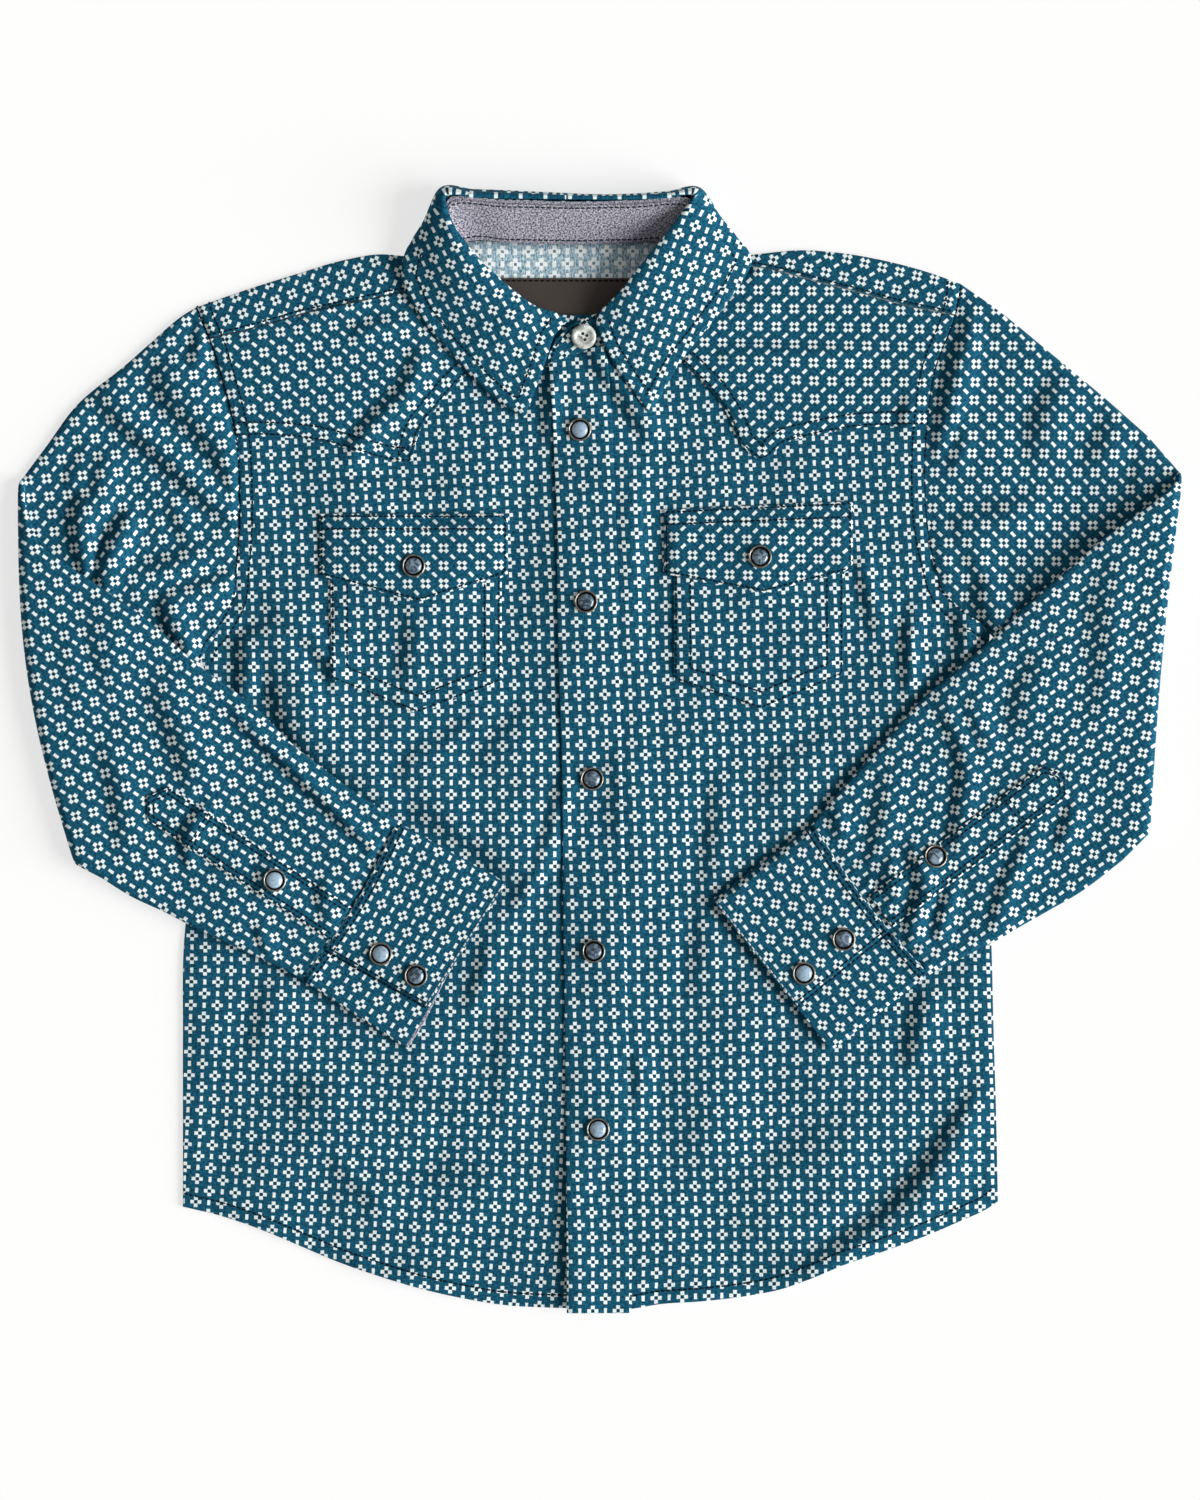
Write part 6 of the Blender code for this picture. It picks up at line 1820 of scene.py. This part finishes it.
def sleeve_lines():
    """Rows on the cuffs and tower plackets. The row just past each cuff's lap edge is dark thread that is
    painted shade of that edge.
    """
    lines = []
    for side in SIDES:
        lap_seam, lap_wrist = side.cuff["lap"]
        for out in (-0.012, 0.030):
            lines.append(cuff_line(side, (0.02, 0.975), (out, out)))
        # -0.016 is real topstitching inside the lap; 0.006 puts dark thread just past the lap's edge on the
        # layer below, as painted shade of that edge
        for off_edge in (-0.016, 0.006):
            lines.append(cuff_line(side, (lap_seam + off_edge, lap_wrist + off_edge), (0.01, 0.98)))
        carrier = ["sleeve_placket_" + side.name]
        start, end, along, across = tower_frame(side.tower)
        half = 0.5 * side.tower["width"] * across
        corners = (start - half, end - half, end + side.tower["point"] * along, end + half, start + half)
        for distance in (1.0, 3.0):
            lines.append((inset(corners, distance), carrier))
        for back in (22.0, 24.0):
            middle = end - back * along
            lines.append((np.array((middle - half + across, middle + half - across)), carrier))
    return lines


def sew_all():
    """Every visible row of stitches, and on each cuff a row of dark thread that is painted shade beside the
    lap's edge.
    """
    sew("stitches_body", body_lines() + armhole_lines(), THREAD)
    sew("stitches_collar", collar_lines(), THREAD)
    # The sleeves' rows include a row of dark thread on each cuff that is painted shade beside the lap's edge
    sew("stitches_sleeves", sleeve_lines(), THREAD)
    lining = PIECES["stand_lining"]["grid"]
    sew("stitches_neck", [(lining[:, column, :2], ["stand_lining"]) for column in (1, -2)],
        THREAD_NAVY, "chambray")
    (x0, x1), (_, top) = LABEL["x"], LABEL["y"]
    label = np.array(((x0 + 1.0, top - 1.2), (x1 - 1.0, top - 1.2)))
    sew("stitches_label", [(label, ["neck_label"])], THREAD_BROWN, "label_weave")
    wrists = [cuff_line(side, (0.015, side.cuff["lap"][1] - 0.01), (0.982, 0.982)) for side in SIDES]
    sew("stitches_wrist", wrists, THREAD_WHITE)


# ---------------------------------------------------------------- snaps and button

def snap_ring():
    """Points and cells of a snap's beaded ring, and each cell's material: 1 in the dark groove."""
    arch = [(BEAD_FROM + BEAD_HALF * (1.0 - math.cos(t)), 0.95 + 0.5 * math.sin(t))
            for t in np.linspace(0.0, math.pi, 9)]
    points, cells = turned([*GROOVE_PROFILE, *arch, *RING_FOOT])
    kinds = np.zeros(len(cells), "i")
    kinds[:ROUND_SIDES * (len(GROOVE_PROFILE) - 1)] = 1
    return points, cells, kinds


def snap_dome():
    """Points and cells of a snap's domed pearl, closed at its top."""
    profile = [(PEARL_RADIUS * math.sin(t), 0.35 + 1.6 * math.cos(t))
               for t in np.linspace(0.5 * math.pi, 0.04, 13)]
    points, cells = turned(profile)
    rim = np.arange(len(points) - ROUND_SIDES, len(points))
    caps = np.column_stack((rim, np.roll(rim, -1), np.full(ROUND_SIDES, len(points))))
    return np.vstack((points, (0.0, 0.0, profile[-1][1]))), cells + caps.tolist()


def make_snaps():
    """Pearl snaps: a beaded metal ring with a dark groove, round a domed pearl."""
    ring, ring_cells, kinds = snap_ring()
    dome, dome_cells = snap_dome()
    for name, x, y, carrier in SNAPS:
        place, normal = on_top(carrier, x, y)
        place = place + SNAP_LIFT * normal
        turn = np.array(turn_to(normal)).T
        made = add_piece("trim_snap_ring_" + name, ring @ turn + place, ring_cells, [METAL, GROOVE_METAL],
                         "snap_metal", "snap_ring_" + name)
        made.data.polygons.foreach_set("material_index", kinds)
        pearl = PEARL_BRIGHT if name in BRIGHT_SNAPS else PEARL_DEEP
        add_piece("trim_snap_pearl_" + name, dome @ turn + place, dome_cells, [pearl], "snap_pearl",
                  "snap_pearl_" + name)


def button_hole(disc, angle):
    """Cutter of one of the button's holes, as a modifier of the disc."""
    points, cells = turned([(HOLE_RADIUS, -1.0), (HOLE_RADIUS, 3.0)], HOLE_SIDES)
    lids = [list(range(HOLE_SIDES - 1, -1, -1)), list(range(HOLE_SIDES, 2 * HOLE_SIDES))]
    spot = HOLES_OFF_CENTRE * np.array((math.cos(angle), math.sin(angle), 0.0))
    cutter = add_object("hole", points + spot, cells + lids, smooth=False)
    cut = disc.modifiers.new("Hole", "BOOLEAN")
    cut.operation = "DIFFERENCE"
    cut.object = cutter
    return cutter


def make_button():
    """Four-hole pearl button on the collar's tab."""
    disc = add_piece("trim_collar_button", *turned(BUTTON_PROFILE), [BUTTON_PEARL], "snap_pearl")
    cutters = [button_hole(disc, math.radians(20.0 + 90.0 * index)) for index in range(4)]
    bpy.context.view_layer.update()
    shaped = bpy.data.meshes.new_from_object(disc.evaluated_get(bpy.context.evaluated_depsgraph_get()))
    disc.modifiers.clear()
    disc.data = shaped
    for cutter in cutters:
        bpy.data.objects.remove(cutter, do_unlink=True)
    place, normal = on_top("collar_stand", *BUTTON_AT)
    turn = turn_to(normal).to_4x4()
    turn.translation = (place + BUTTON_LIFT * normal) * MM
    disc.data.transform(turn)
    disc.data.update()
    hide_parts("collar_button")


# ---------------------------------------------------------------- floor, light and camera

def make_floor():
    """Plain white light table under the shirt."""
    corners = np.array([(-1, -1, 0), (1, -1, 0), (1, 1, 0), (-1, 1, 0)]) * FLOOR_HALF / MM
    nodes = Nodes("floor_white", roughness=0.95, Emission_Color=(1.0, 1.0, 0.99, 1.0),
                  Emission_Strength=FLOOR_GLOW)
    grain = nodes.noise(nodes.object_place(), 4.0)
    nodes.colour(nodes.mix(grain, dimmed(FLOOR_WHITE, 0.98), FLOOR_WHITE))
    add_object("floor", corners, [(0, 1, 2, 3)], [nodes.material], smooth=False)


def make_light():
    """Even light from all round and a soft key from the right."""
    world = bpy.data.worlds.new("studio")
    world.use_nodes = True
    background = world.node_tree.nodes["Background"]
    background.inputs["Color"].default_value = (1.0, 1.0, 1.0, 1.0)
    background.inputs["Strength"].default_value = FILL_STRENGTH
    bpy.context.scene.world = world
    light = bpy.data.lights.new("key", "SUN")
    light.energy = KEY_STRENGTH
    light.angle = math.radians(KEY_SOFTNESS)
    lamp = bpy.data.objects.new("key", light)
    turn, height = math.radians(KEY_TURN), math.radians(KEY_HEIGHT)
    place = Vector((math.cos(turn) * math.cos(height), math.sin(turn) * math.cos(height), math.sin(height)))
    lamp.location = 2.0 * place
    lamp.rotation_euler = place.to_track_quat("Z", "Y").to_euler()
    bpy.context.scene.collection.objects.link(lamp)


def make_camera():
    """Camera straight above, its frame as wide as the photograph's."""
    data = bpy.data.cameras.new("camera")
    data.lens = CAMERA_LENS
    data.sensor_width = CAMERA_SENSOR
    data.clip_end = CAMERA_REACH
    camera = bpy.data.objects.new("camera", data)
    camera.location = (0.0, 0.0, CAMERA_HEIGHT)
    scene = bpy.context.scene
    scene.collection.objects.link(camera)
    scene.camera = camera
    scene.view_settings.view_transform = "Standard"
    scene.view_settings.look = "None"


def main():
    """Dresses the frame."""
    make_back()
    make_back_yoke()
    make_fronts()
    make_front_yokes()
    make_placket()
    make_pockets()
    make_leaf()
    make_stand_lining(make_stand())
    make_label()
    make_sleeves()
    for side in SIDES:
        make_cuff(side)
        make_tower(side)
    make_snaps()
    make_button()
    sew_all()
    make_floor()
    make_light()
    make_camera()


main()
